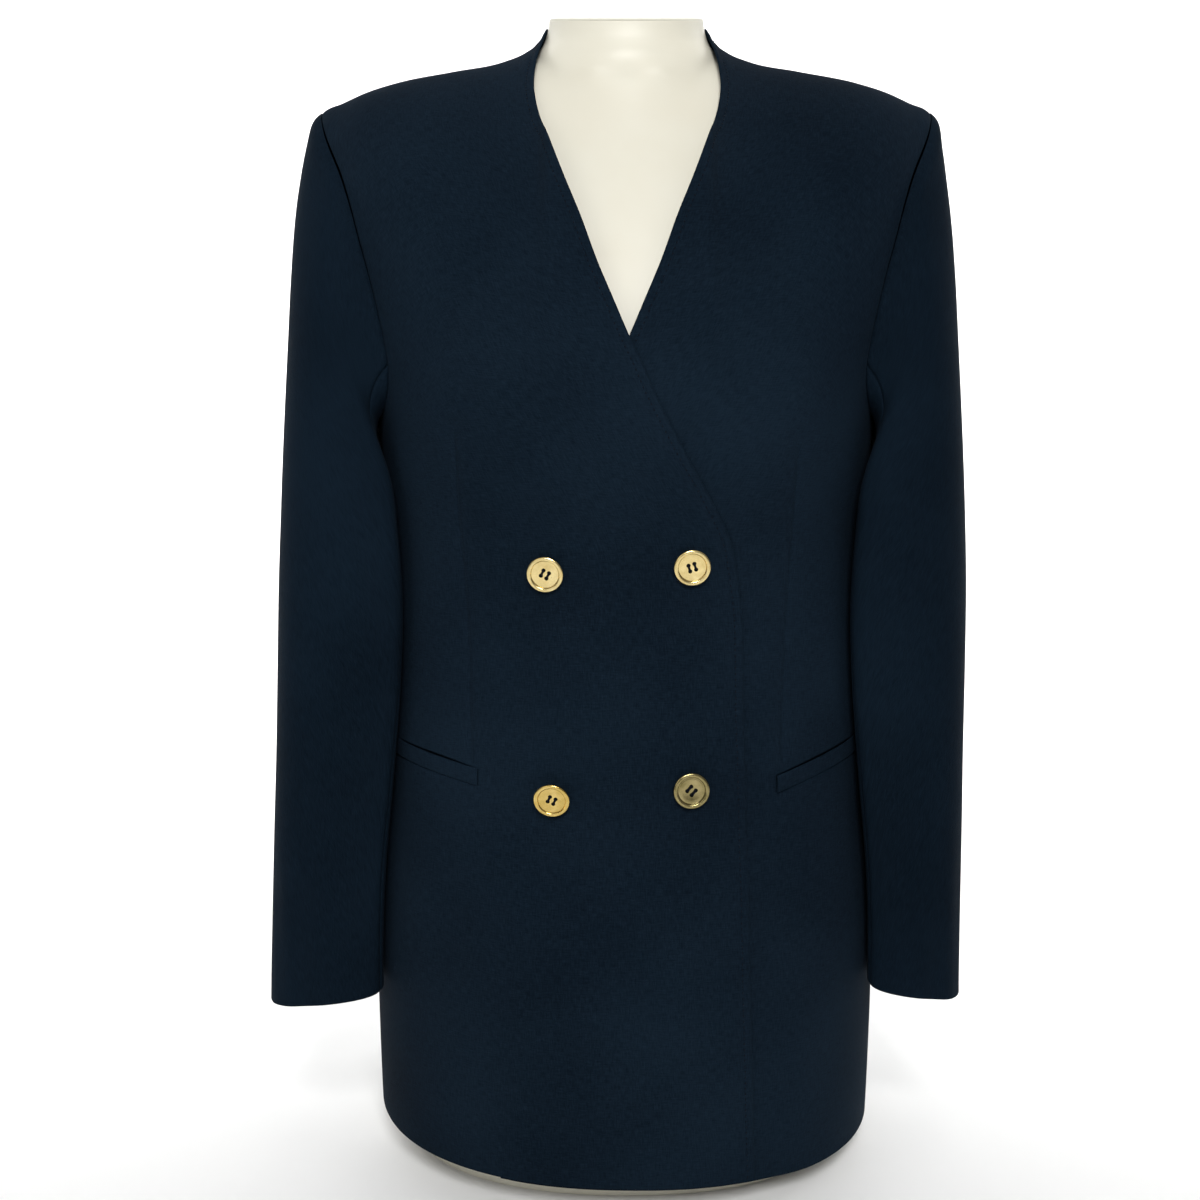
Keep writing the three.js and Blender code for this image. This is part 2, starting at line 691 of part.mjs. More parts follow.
// How far the dress form's trunk reaches from the centre line towards an angle, at a height.
function trunkReach(angle, z) {
  const half = along(FORM, 'z', 'half', z);
  const ahead = Math.cos(angle) > 0;
  const depth = ahead ? along(FORM, 'z', 'front', z) + SEAM_Y : along(FORM, 'z', 'back', z) - SEAM_Y;
  let low = 0;
  let high = 260;
  for (let i = 0; i < 30; i += 1) {
    const reach = (low + high) / 2;
    const x = reach * Math.abs(Math.sin(angle));
    const top = Math.min(ridge(x), ridge(66)) - FORM_CLEAR;
    const surface = depth * girth(x, half) * overShoulder(x, top, z, ahead ? CHEST_SLOPE : BACK_SLOPE);
    const inside = x < half && z < top && reach * Math.abs(Math.cos(angle)) < surface;
    if (inside) {
      low = reach;
    } else {
      high = reach;
    }
  }
  return low;
}

// How far the neck reaches from the centre line towards an angle, at a height.
function neckReach(angle, z) {
  const half = along(FORM_NECK, 'z', 'half', z);
  const depth = along(FORM_NECK, 'z', Math.cos(angle) > 0 ? 'front' : 'back', z);
  return 1 / Math.hypot(Math.sin(angle) / half, Math.cos(angle) / depth);
}

// The dress form: rings of trunk and neck blended into one another, flat below, cut at the neck.
function formGeometry() {
  const points = [];
  for (const level of FORM_LEVELS) {
    for (let j = 0; j < FORM_SIDES; j += 1) {
      const angle = (j / FORM_SIDES) * 2 * Math.PI;
      const trunk = trunkReach(angle, level);
      const neck = level > 560 ? neckReach(angle, level) : 0;
      const reach = (trunk ** NECK_BLEND + neck ** NECK_BLEND) ** (1 / NECK_BLEND);
      const y = SEAM_Y - reach * Math.cos(angle);
      const slant = NECK_CUT.slope * (y - NECK_CUT.middle) * ease(NECK_CUT.from, 776, level);
      points.push(new THREE.Vector3(reach * Math.sin(angle), y, level + slant));
    }
  }
  const rings = FORM_LEVELS.length;
  const foot = points.push(new THREE.Vector3(0, SEAM_Y, 0)) - 1;
  const capZ = 776 + NECK_CUT.slope * (SEAM_Y - NECK_CUT.middle);
  const cap = points.push(new THREE.Vector3(0, SEAM_Y, capZ)) - 1;
  const faces = [];
  for (let j = 0; j < FORM_SIDES; j += 1) {
    const next = (j + 1) % FORM_SIDES;
    for (let i = 0; i < rings - 1; i += 1) {
      const low = i * FORM_SIDES;
      const high = low + FORM_SIDES;
      faces.push(low + j, low + next, high + next, low + j, high + next, high + j);
    }
    const top = (rings - 1) * FORM_SIDES;
    faces.push(foot, next, j, cap, top + j, top + next);
  }
  return closed(points, faces);
}

// Finishes

const navy = { color: 0x101c2a, roughness: 0.85, metalness: 0 };
const gold = { color: 0xd9bd78, roughness: 0.25, metalness: 1 };
const cream = { color: 0xece9da, roughness: 0.35, metalness: 0 };

// A named mesh with its own material.
function piece(name, geometry, finish) {
  const mesh = new THREE.Mesh(geometry, new THREE.MeshStandardMaterial(finish));
  mesh.name = name;
  return mesh;
}

// The whole object

const blazer = new THREE.Group();
for (const side of SIDES) {
  blazer.add(piece(`front_${side.name}`, frontPiece(side), navy));
  blazer.add(piece(`back_${side.name}`, backPiece(side), navy));
  const tube = sleeveTube(side);
  const upper = sleevePiece(side, tube, 0, UPPER_SLEEVE_COLUMNS);
  blazer.add(piece(`sleeve_${side.name}_upper`, upper, navy));
  const under = sleevePiece(side, tube, UPPER_SLEEVE_COLUMNS, UNDER_SLEEVE_COLUMNS);
  blazer.add(piece(`sleeve_${side.name}_under`, under, navy));
  blazer.add(piece(`pocket_welt_${side.name}`, weltPiece(side), navy));
}
const buttonShape = buttonGeometry();
for (const button of BUTTONS) {
  const mesh = piece(button.name, buttonShape, gold);
  seatButton(mesh, button);
  blazer.add(mesh);
}
blazer.add(piece('dress_form', formGeometry(), cream));

export default blazer;
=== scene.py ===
"""A long double-breasted blazer without a collar, on a limbless dress form.

Lengths are in millimetres until a mesh is made, which is in metres. +Z is up, the front faces
-Y and the wearer's right is at -X. Each piece of cloth is a grid of points on the garment's
outer surface, pressed by its seams, darts and creases, and the same grid moved inward.
"""

import logging
import math
from dataclasses import dataclass
from enum import Enum

import bpy
import numpy as np
from mathutils import Matrix, Vector


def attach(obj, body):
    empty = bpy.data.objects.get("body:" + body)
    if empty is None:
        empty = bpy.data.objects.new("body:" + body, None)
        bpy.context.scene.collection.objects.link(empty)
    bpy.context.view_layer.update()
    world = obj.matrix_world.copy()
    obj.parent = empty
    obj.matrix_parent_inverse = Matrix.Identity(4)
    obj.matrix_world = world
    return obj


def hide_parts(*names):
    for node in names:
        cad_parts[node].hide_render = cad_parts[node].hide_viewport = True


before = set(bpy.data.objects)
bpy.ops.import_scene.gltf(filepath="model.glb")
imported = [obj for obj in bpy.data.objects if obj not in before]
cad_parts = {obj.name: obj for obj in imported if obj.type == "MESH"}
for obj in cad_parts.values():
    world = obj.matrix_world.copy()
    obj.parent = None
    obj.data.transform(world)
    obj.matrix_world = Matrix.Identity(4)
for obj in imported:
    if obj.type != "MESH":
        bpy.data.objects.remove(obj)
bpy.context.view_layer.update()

LOG = logging.getLogger("blazer")
MILLIMETRE = 0.001
Array = np.ndarray
Object, Material, Socket = bpy.types.Object, bpy.types.Material, bpy.types.NodeSocket
Triple = tuple[float, float, float]

CLOTH = 1.8               # outer cloth, interlining and lining together
SEAM_GAP = 0.3            # between two pieces at a seam
SLEEVE_SEAM_GAP = 0.5     # between a sleeve's two pieces
ARMHOLE_GAP = 1.1         # from the armhole out to the sleeve, away from the seam
ARMHOLE_SEAM = 0.15       # the same at the seam itself
LAP_GAP = 1.05            # between the front that laps over and the one below it
FREE_RIM, SEWN_RIM = 1.0, 0.15  # how round an edge is, as a part of half the cloth
HEM_FRONT = 21.0          # the hem's height at the front edge
UNDERARM, SHOULDER_POINT, NECK_POINT, BACK_NECK = 505.0, 712.0, 766.0, 770.0
NECK_HALF = 54.5          # from the centre to where the neckline meets the shoulder seam
SEAM_Y = 8.0              # the plane of the side seams and the shoulder seams
GIRTH_POWER = 2.25        # 2 is an ellipse, more is squarer
PAD_FROM, PAD_TO = 60.0, 180.0  # where the shoulder pad starts and where it is full
SLEEVE_POWER = 2.3        # as the girth's, for a sleeve's rings
SLEEVE_CLEAR = 0.9        # from the body's side to a sleeve's inner half
CAP_ROWS, CUFF_ROW = 8.0, 15.0  # the rows where the armhole's shape has faded, and of the cuff
FRONT_SLEEVE_SEAM, BACK_SLEEVE_SEAM = 128.0, -118.0  # in degrees round from the outer line
HUG = 0.93                # how closely a sleeve's inner half follows the body, up to 1
ARMHOLE_MIDDLE = (172.0, SEAM_Y, 600.0)
BUTTON_RADIUS = 11.5
NECK_BLEND = 12.0         # the more, the sharper the trunk and the neck meet
GROOVE = 1.3              # the width of the fine groove along a seam
ROW_POWER = 1.25          # the more, the closer the rows lie by the underarm and the cap
STITCH_INSET, STITCH_STEP = 4.6, 3.8  # from the free edge, and from stitch to stitch
STITCH_HALF, STITCH_RADIUS, STITCH_PROUD = 0.8, 0.34, 0.02


class Table:
    """Named columns of sizes, read on a smooth curve through their rows."""

    def __init__(self, names: str, rows: list[tuple[float, ...]]) -> None:
        """Keeps the rows and works out the slope of every column at every row."""
        self.names = names.split()
        self.rows = np.array(rows, float)
        self.step = np.diff(self.rows[:, 0])[:, None]
        slope = np.diff(self.rows, axis=0) / self.step
        inner = slope[:-1] * self.step[1:] + slope[1:] * self.step[:-1]
        inner = inner / (self.step[:-1] + self.step[1:])
        self.slope = np.vstack([slope[:1], inner, slope[-1:]])

    def __call__(self, column: str, at: Array) -> Array:
        """Reads a column at places between the rows, on a cubic through both neighbours.

        Args:
            column: the name of the column.
            at: places along the first column.

        Returns:
            The column's values there.
        """
        keys, k = self.rows[:, 0], self.names.index(column)
        i = np.searchsorted(keys[1:-1], at, side="right")
        step = self.step[i, 0]
        u = np.clip((at - keys[i]) / step, 0, 1)
        value = mix(self.rows[i, k], self.rows[i + 1, k], u * u * (3 - 2 * u))
        leave = (u**3 - 2 * u**2 + u) * self.slope[i, k]
        arrive = (u**3 - u**2) * self.slope[i + 1, k]
        return value + step * (leave + arrive)


def mix(start: Array, end: Array, part: Array) -> Array:
    """A value part of the way from one to another."""
    return start + (end - start) * part


def ease(start: float, end: float, value: Array) -> Array:
    """Rises smoothly from 0 at start to 1 at end."""
    part = np.clip((value - start) / (end - start), 0, 1)
    return part * part * (3 - 2 * part)


def bell(distance: Array, width: float) -> Array:
    """Falls smoothly from 1 at no distance to 1 / e at the width."""
    return np.exp(-((distance / width) ** 2))


def seam_press(distance: Array, fine: float, soft: float, width: float) -> Array:
    """What a seam presses in: a fine groove, and a soft valley of some width beside it."""
    return fine * bell(distance, GROOVE) + soft * bell(distance, width)


def crowded(count: int, *places: Triple) -> Array:
    """Parts from 0 to 1 that crowd round some places, by the inverse of a summed density.

    Args:
        count: how many parts.
        places: where each place lies, how much denser it is there, and its width.

    Returns:
        The parts, in rising order.
    """
    fine = np.linspace(0, 1, 2001)
    density = 1 + sum(more * bell(fine - place, width) for place, more, width in places)
    total = np.cumsum(density) - density[0]
    return np.interp(np.linspace(0, total[-1], count), total, fine)


def unit(vectors: Array) -> Array:
    """The vectors scaled to length 1."""
    return vectors / np.maximum(np.linalg.norm(vectors, axis=-1, keepdims=True), 1e-9)


def lengths(grid: Array, axis: int) -> Array:
    """How far each point of a grid is from its row's or column's first point, along it."""
    steps = np.linalg.norm(np.diff(grid, axis=axis), axis=-1)
    start = np.zeros_like(np.take(steps, [0], axis=axis))
    return np.concatenate([start, np.cumsum(steps, axis=axis)], axis=axis)


BODY = Table("z half front back", [
    (0, 175, 150, 142), (60, 176.5, 149, 141), (140, 177, 147, 140), (200, 175, 143, 136),
    (270, 169.5, 136, 126), (340, 165, 130, 117), (410, 163, 130, 115), (470, 166, 136, 119),
    (530, 172.5, 138, 124), (565, 180, 138, 126), (600, 190, 137, 127), (640, 205, 135, 128),
    (680, 221, 134, 128), (712, 232, 133, 128), (840, 260, 130, 126),
])
RIDGE = Table("x z", [
    (0, 838), (30, 812), (44, 793), (52.3, 775), (54.5, 766), (60, 757), (67, 751.8), (81, 746),
    (114, 739.3), (151, 732), (174, 725), (188, 719), (204, 712), (214, 700), (260, 640),
])
FRONT_EDGE = Table("z out", [
    (0, -84), (70, -81), (144, -78.5), (210, -76.5), (312, -73), (414, -67.5), (440, -62),
    (463, -50.5), (498, -31), (529, -15), (548, -6.5), (565, 1.8), (582, 9.5), (605, 20),
    (630, 30), (655, 40.8), (680, 50), (704, 57), (719, 60), (735, 61.3),
    (746, 60.4), (757, 57.6), (766, 54.5),
])
ARMHOLE = Table("z front back", [
    (505, 169.4, 169.4), (512, 161, 165), (524, 155.5, 162.5), (540, 153, 162),
    (560, 155.5, 164), (580, 160, 167.5), (600, 165, 171.5), (624, 172, 177),
    (645, 178, 182), (664, 184.5, 187.5), (695, 198.5, 199), (712, 204, 204),
])
SLEEVE = Table("row out_z out_x in_z mid half", [
    (0, 712, 204, 505, -7, 60), (1, 706, 207, 504, -7, 62), (2, 695, 210, 502, -7, 64),
    (3, 674, 213.3, 498, -8, 66), (4, 643, 217, 492, -9, 67.5), (5, 606, 219.5, 483, -11, 68.5),
    (6, 562, 221.7, 468, -14, 68.5), (7, 512, 224.5, 445, -18, 67), (8, 458, 227.5, 415, -22, 65),
    (9, 402, 230.3, 378, -25, 63), (10, 345, 232, 332, -27, 60.5), (11, 288, 233.4, 283, -29, 57.5),
    (12, 232, 235.3, 232, -31, 54), (13, 181, 236.8, 190, -33, 51), (14, 139, 238, 154, -35, 48.5),
    (15, 110.5, 238.8, 129, -36, 47.5),
])
FORM = Table("z half front back", [
    (0, 156, 120, 122), (80, 163, 124, 126), (150, 163, 122, 126), (230, 152, 114, 116),
    (310, 138, 106, 102), (370, 135, 106, 98), (440, 143, 117, 103), (490, 150, 125, 108),
    (540, 157, 127, 112), (620, 172, 126, 114), (700, 188, 124, 114), (800, 192, 122, 112),
])
FORM_NECK = Table("z half front back", [
    (600, 40, 60, 40), (660, 52, 66, 62), (700, 66, 63, 67), (725, 65, 55, 66), (742, 63, 48, 64),
    (750, 59.5, 45, 61), (757, 55.3, 43.5, 57.5), (766, 52.5, 42.5, 55), (776, 51.2, 42, 54),
    (800, 50.6, 41.5, 52.5),
])


@dataclass(frozen=True)
class Slope:
    """How the chest or the back curves over to the shoulder ridge."""

    rise: float
    round: float
    padded: float

    def keep(self, x: Array, top: Array, z: Array) -> Array:
        """The part of its depth that the body keeps: (1 - height part ^ rise) ^ (1 / round)."""
        part = np.clip((z - UNDERARM) / (top - UNDERARM), 0, 1)
        round_here = mix(self.round, self.padded, ease(PAD_FROM, PAD_TO, np.abs(x)))
        return (1 - part**self.rise) ** (1 / round_here)


CHEST_SLOPE = Slope(rise=1.8, round=1.5, padded=1.95)
BACK_SLOPE = Slope(rise=2.6, round=1.9, padded=2.1)


def ridge(x: Array) -> Array:
    """The height of the shoulder ridge over a distance from the centre."""
    return RIDGE("z", np.abs(x))


def girth(x: Array, half: Array) -> Array:
    """The depth of a girth section at a distance from the centre, as a part of its full depth."""
    part = np.clip(np.abs(x) / half, 0, 1)
    return (1 - part**GIRTH_POWER) ** (1 / GIRTH_POWER)


def front_y(x: Array, z: Array) -> Array:
    """Where the garment's front surface lies at a place across and up."""
    depth = (BODY("front", z) + SEAM_Y) * girth(x, BODY("half", z))
    return SEAM_Y - depth * CHEST_SLOPE.keep(x, ridge(x), z)


def back_y(x: Array, z: Array) -> Array:
    """Where the garment's back surface lies at a place across and up."""
    depth = (BODY("back", z) - SEAM_Y) * girth(x, BODY("half", z))
    return SEAM_Y + depth * BACK_SLOPE.keep(x, ridge(x), z)


def side_x(y: Array, z: Array) -> Array:
    """How far out the body's side lies at a depth ahead of the side seam and a height."""
    return BODY("half", z) * girth(y - SEAM_Y, BODY("front", z) + SEAM_Y)


def edge_out(z: Array) -> Array:
    """The distance of a front's free edge from the centre, on its own side."""
    return FRONT_EDGE("out", z)


def grid_normals(grid: Array, sign: float, ring: bool = False) -> Array:
    """The normals of a grid, as the cross product of its steps across and up.

    Args:
        grid: points, rows first.
        sign: -1 turns the normals round.
        ring: the last column is a neighbour of the first.

    Returns:
        One unit vector a point.
    """
    if ring:
        across = np.roll(grid, -1, axis=1) - np.roll(grid, 1, axis=1)
    else:
        across = np.gradient(grid, axis=1)
    return sign * unit(np.cross(across, np.gradient(grid, axis=0)))


def armhole_direction(points: Array) -> Array:
    """The direction of the cloth's thickness along the armhole, away from its middle."""
    return unit(points - np.array(ARMHOLE_MIDDLE))


@dataclass(frozen=True)
class Fold:
    """A soft trough, or a ridge where its depth is negative, along a bowed line.

    Places are (across, up). On fronts and backs that is the distance from the centre and the
    height, on a sleeve the degrees round from its outer line and the height.
    """

    start: tuple[float, float]
    end: tuple[float, float]
    depth: float
    width: float
    bow: float = 0.0

    def press(self, across: Array, up: Array) -> Array:
        """How far the fold presses each place in.

        The depth times a bell across the line, times a sine along it that ends at zero.

        Args:
            across: places across.
            up: heights.

        Returns:
            Depths, which are negative on a ridge.
        """
        run_x, run_z = self.end[0] - self.start[0], self.end[1] - self.start[1]
        length = math.hypot(run_x, run_z)
        from_x, from_z = across - self.start[0], up - self.start[1]
        t = np.clip((from_x * run_x + from_z * run_z) / length**2, 0, 1)
        aside = (from_z * run_x - from_x * run_z) / length - self.bow * 4 * t * (1 - t)
        return self.depth * bell(aside, self.width) * np.abs(np.sin(np.pi * t))


def pressed(folds: tuple[Fold, ...], across: Array, up: Array) -> Array:
    """The sum of what several folds press in."""
    return sum((fold.press(across, up) for fold in folds), np.zeros_like(across))


def link(name: str, data: bpy.types.ID) -> Object:
    """Makes an object of a mesh, lamp or camera and links it to the scene."""
    made = bpy.data.objects.new(name, data)
    bpy.context.scene.collection.objects.link(made)
    return made


class Mesher:
    """Puts grids into Blender meshes."""

    @staticmethod
    def woven(name: str, points: Array, quads: Array, weave: Array) -> Object:
        """Makes a smooth object of cloth whose faces point outward.

        Args:
            name: the piece's name.
            points: corner places in millimetres.
            quads: four corner numbers a face.
            weave: each corner's place on the cloth, in metres.

        Returns:
            The linked object.
        """
        a, b, c, d = (points[quads[:, k]] for k in range(4))
        volume = np.einsum("ij,ij->i", a, np.cross(b, c)) + np.einsum("ij,ij->i", a, np.cross(c, d))
        if volume.sum() < 0:
            quads = quads[:, ::-1]
        mesh = bpy.data.meshes.new(name)
        mesh.vertices.add(len(points))
        mesh.vertices.foreach_set("co", (points * MILLIMETRE).ravel())
        mesh.loops.add(quads.size)
        mesh.loops.foreach_set("vertex_index", quads.ravel().astype(np.int32))
        mesh.polygons.add(len(quads))
        mesh.polygons.foreach_set("loop_start", np.arange(0, quads.size, 4, dtype=np.int32))
        mesh.polygons.foreach_set("use_smooth", np.ones(len(quads), bool))
        mesh.uv_layers.new(name="weave").data.foreach_set("uv", weave[quads.ravel()].ravel())
        mesh.update(calc_edges=True)
        mesh.validate()
        return link(name, mesh)

    @staticmethod
    def shell(name: str, outer: Array, thickness: Array, free: tuple[str, ...]) -> Object:
        """A closed thin shell with rounded edges between a grid and the same grid moved inward.

        The grid is padded by two rings. With the middle of the wall M, half its thickness H and
        the way out of the edge O, a ring at angle p lies at M + H cos p + O sin p.

        Args:
            name: the piece's name.
            outer: points of the outer surface, rows first.
            thickness: vectors from the outer to the inner surface.
            free: which of the first and last column and the bottom and top row aren't sewn.

        Returns:
            The finished object.
        """
        middle, half = outer + thickness / 2, -thickness / 2
        rows, columns = outer.shape[:2]
        way = np.zeros((rows + 4, columns + 4, 3))
        for edge, rim, end, beside, axis in (
            ("first", np.s_[:, :2], middle[:, 0], middle[:, 1], 1),
            ("last", np.s_[:, -2:], middle[:, -1], middle[:, -2], 1),
            ("bottom", np.s_[:2], middle[0], middle[1], 0),
            ("top", np.s_[-2:], middle[-1], middle[-2], 0),
        ):
            reach = CLOTH / 2 * (FREE_RIM if edge in free else SEWN_RIM)
            out = np.pad(unit(end - beside), ((2, 2), (0, 0)), mode="edge")
            way[rim] += np.expand_dims(out, axis) * reach
        turn = np.zeros((rows + 4, columns + 4, 1))
        turn[:, [1, -2]] = turn[[1, -2], :] = math.pi / 4
        turn[:, [0, -1]] = turn[[0, -1], :] = math.pi / 2
        ring = ((2, 2), (2, 2), (0, 0))
        middle, half = np.pad(middle, ring, mode="edge"), np.pad(half, ring, mode="edge")
        outside = middle + half * np.cos(turn) + way * np.sin(turn)
        inside = middle - half * np.cos(turn) + way * np.sin(turn)
        count = (rows + 4) * (columns + 4)
        number = np.arange(count).reshape(rows + 4, columns + 4)
        below = number.copy()
        below[1:-1, 1:-1] = count + np.arange((rows + 2) * (columns + 2)).reshape(rows + 2, -1)
        points = np.vstack([outside.reshape(-1, 3), inside[1:-1, 1:-1].reshape(-1, 3)])
        quads = np.vstack([Mesher.quads(number), Mesher.quads(below)[:, ::-1]])
        weave = np.stack([lengths(outer, 1), lengths(outer, 0)], axis=-1)
        weave = np.pad(weave, ring, mode="edge") * MILLIMETRE
        weave = np.vstack([weave.reshape(-1, 2), weave[1:-1, 1:-1].reshape(-1, 2)])
        return Mesher.woven(name, points, quads, weave)

    @staticmethod
    def quads(number: Array) -> Array:
        """The four corner numbers of every cell of a grid of numbers."""
        return np.stack([number[:-1, :-1], number[:-1, 1:], number[1:, 1:], number[1:, :-1]],
                        axis=-1).reshape(-1, 4)

    @staticmethod
    def plain(name: str, points: Array, faces: list[tuple[int, ...]]) -> Object:
        """A smooth closed object whose faces are turned outward, by the sign of its volume."""
        mesh = bpy.data.meshes.new(name)
        mesh.from_pydata((points * MILLIMETRE).tolist(), [], faces)
        mesh.calc_loop_triangles()
        corners = np.empty(len(mesh.loop_triangles) * 3, np.int32)
        mesh.loop_triangles.foreach_get("vertices", corners)
        a, b, c = points[corners.reshape(-1, 3)].transpose(1, 0, 2)
        if np.einsum("ij,ij->", a, np.cross(b, c)) < 0:
            mesh.flip_normals()
        mesh.polygons.foreach_set("use_smooth", np.ones(len(mesh.polygons), bool))
        return link(name, mesh)

    @staticmethod
    def rings(name: str, grid: Array, poles: Array) -> Object:
        """A closed form of rings, one a row, with a pole point at each end.

        Args:
            name: the piece's name.
            grid: the rings' points, without the first one repeated.
            poles: the point before the first ring and the one after the last.

        Returns:
            The finished object.
        """
        count, sides = grid.shape[0] * grid.shape[1], grid.shape[1]
        number = np.arange(count).reshape(-1, sides)
        number = np.hstack([number, number[:, :1]])
        faces = [tuple(quad) for quad in Mesher.quads(number).tolist()]
        low, high = number[0].tolist(), number[-1].tolist()
        faces += [(count, b, a) for a, b in zip(low, low[1:])]
        faces += [(count + 1, a, b) for a, b in zip(high, high[1:])]
        return Mesher.plain(name, np.vstack([grid.reshape(-1, 3), poles]), faces)

    @staticmethod
    def lathe(name: str, profile: Array, sides: int) -> Object:
        """A closed solid of revolution about Z.

        Args:
            name: the piece's name.
            profile: rows of radius and height, from the axis out and back to it.
            sides: how many steps go round.

        Returns:
            The finished object.
        """
        turn = np.linspace(0, 2 * math.pi, sides, endpoint=False)
        radius, height = profile[1:-1, 0, None], profile[1:-1, 1, None]
        grid = np.stack([radius * np.cos(turn), radius * np.sin(turn), height + 0 * turn], axis=-1)
        return Mesher.rings(name, grid, np.array([(0, 0, profile[0, 1]), (0, 0, profile[-1, 1])]))

    @staticmethod
    def capsules(name: str, starts: Array, ends: Array, radius: float, sides: int = 6) -> Object:
        """Short rods such as stitches, all in one mesh, each of a tip, two rings and a tip.

        Args:
            name: the piece's name.
            starts: where each rod starts.
            ends: where each rod ends.
            radius: their radius.
            sides: how many steps go round.

        Returns:
            The finished object.
        """
        along = unit(ends - starts)
        aside = unit(np.cross(along, np.array([0.31, 0.23, 0.92])))
        turn = np.linspace(0, 2 * math.pi, sides, endpoint=False)[:, None]
        ring = aside[:, None] * np.cos(turn) + np.cross(along, aside)[:, None] * np.sin(turn)
        inset = along[:, None] * radius * 0.6
        points = np.concatenate([starts[:, None], starts[:, None] + inset + ring * radius,
                                 ends[:, None] - inset + ring * radius, ends[:, None]], axis=1)
        size = 2 * sides + 2
        faces = []
        for k in range(sides):
            n = (k + 1) % sides
            faces += [(0, 1 + n, 1 + k), (1 + k, 1 + n, 1 + sides + n, 1 + sides + k),
                      (size - 1, 1 + sides + k, 1 + sides + n)]
        every = [tuple(rod * size + corner for corner in face)
                 for rod in range(len(starts)) for face in faces]
        return Mesher.plain(name, points.reshape(-1, 3), every)


class Slot(Enum):
    """The record's material slots."""

    WOOL = "wool"
    GILT = "gilt"
    FORM = "form"


class Tone(Enum):
    """How a button's gilt is coloured. The pale tone is the gilt's own colour. The other two are copies of
    it, warmer and darker, which paint what two buttons' faces reflect into their colour: painted reflection.
    """

    PALE = 0
    WARM_PAINTED_REFLECTION = 1
    DARK_PAINTED_REFLECTION = 2


class Nodes:
    """A short hand for a material's node tree."""

    def __init__(self, name: str) -> None:
        """Starts a material with its Principled shader."""
        self.material = bpy.data.materials.new(name)
        self.material.use_nodes = True
        self.tree = self.material.node_tree
        self.shader = self.tree.nodes["Principled BSDF"]

    def add(self, kind: str, values: dict[str, object] | None = None, **settings: object) -> bpy.types.Node:
        """Adds a node.

        Args:
            kind: the node's type name.
            values: what its unlinked inputs hold, or the sockets that feed them.
            settings: the node's own properties.

        Returns:
            The node.
        """
        node = self.tree.nodes.new(kind)
        for key, value in settings.items():
            setattr(node, key, value)
        for key, value in (values or {}).items():
            self.put(node.inputs[key], value)
        return node

    def put(self, socket: Socket, value: object) -> None:
        """Links another node's output to a socket, or sets the socket's own value."""
        if isinstance(value, Socket):
            self.tree.links.new(value, socket)
        else:
            socket.default_value = value

    def finish(self, values: dict[str, object]) -> Material:
        """Sets or feeds the shader's inputs and gives the finished material."""
        for key, value in values.items():
            self.put(self.shader.inputs[key], value)
        return self.material

    def object_place(self) -> Socket:
        """The piece's own coordinates."""
        return self.add("ShaderNodeTexCoord").outputs["Object"]

    def math(self, operation: str, first: object, second: object = 0.0) -> Socket:
        """The result of a Math node."""
        node = self.add("ShaderNodeMath", operation=operation)
        self.put(node.inputs[0], first)
        self.put(node.inputs[1], second)
        return node.outputs[0]

    def noise(self, place: Socket, scale: float, detail: float = 2.0,
              roughness: float = 0.5) -> Socket:
        """The value of a Noise Texture at a place."""
        node = self.add("ShaderNodeTexNoise", {"Vector": place, "Scale": scale, "Detail": detail,
                                               "Roughness": roughness})
        return node.outputs["Fac"]

    def stretched(self, place: Socket, scale: Triple) -> Socket:
        """A place scaled by a different amount along each axis."""
        return self.add("ShaderNodeMapping", {"Vector": place, "Scale": scale}).outputs[0]

    def ramp(self, value: Socket, *stops: tuple[float, Triple]) -> Socket:
        """A colour between some stops."""
        node = self.add("ShaderNodeValToRGB", {"Fac": value})
        for element, (place, colour) in zip(node.color_ramp.elements, stops):
            element.position = place
            element.color = (*colour, 1)
        return node.outputs[0]

    def bump(self, height: Socket, strength: float, distance: float, under: Socket | None = None) -> Socket:
        """A normal bumped by a height, on top of another normal where one is given."""
        values = {"Height": height, "Strength": strength, "Distance": distance}
        if under is not None:
            values["Normal"] = under
        return self.add("ShaderNodeBump", values).outputs[0]


@dataclass(frozen=True)
class Wool:
    """A fine plain-woven dark navy wool with soft slubs along both threads."""

    name: str
    dark: Triple
    light: Triple
    roughness: float = 0.88
    sheen: float = 0.012
    thread: float = 0.00055

    def make(self) -> Material:
        """Builds the finish on the piece's own weave map, in metres."""
        n = Nodes(self.name)
        weave = n.add("ShaderNodeUVMap", uv_map="weave").outputs[0]
        warp = n.noise(n.stretched(weave, (1300, 170, 1)), 1.0, 3.0, 0.6)
        weft = n.noise(n.stretched(weave, (165, 1400, 1)), 1.0, 3.0, 0.6)
        slub = n.math("MULTIPLY", n.math("ADD", warp, weft), 0.5)
        cloud = n.noise(n.object_place(), 6.5, 2.0, 0.5)
        tone = n.math("ADD", n.math("MULTIPLY", slub, 0.66), n.math("MULTIPLY", cloud, 0.34))
        split = n.add("ShaderNodeSeparateXYZ", {"Vector": weave})
        turn = 2 * math.pi / self.thread
        over, under = (n.math("SINE", n.math("MULTIPLY", split.outputs[k], turn)) for k in (0, 1))
        threads = n.bump(n.math("MULTIPLY", over, under), 0.25, 0.00012)
        return n.finish({
            "Base Color": n.ramp(tone, (0.40, self.dark), (0.60, self.light)),
            "Normal": n.bump(slub, 0.5, 0.0004, threads), "Roughness": self.roughness,
            "Specular IOR Level": 0.03, "Sheen Weight": self.sheen, "Sheen Roughness": 0.45,
            "Sheen Tint": (0.45, 0.62, 0.85, 1),
        })


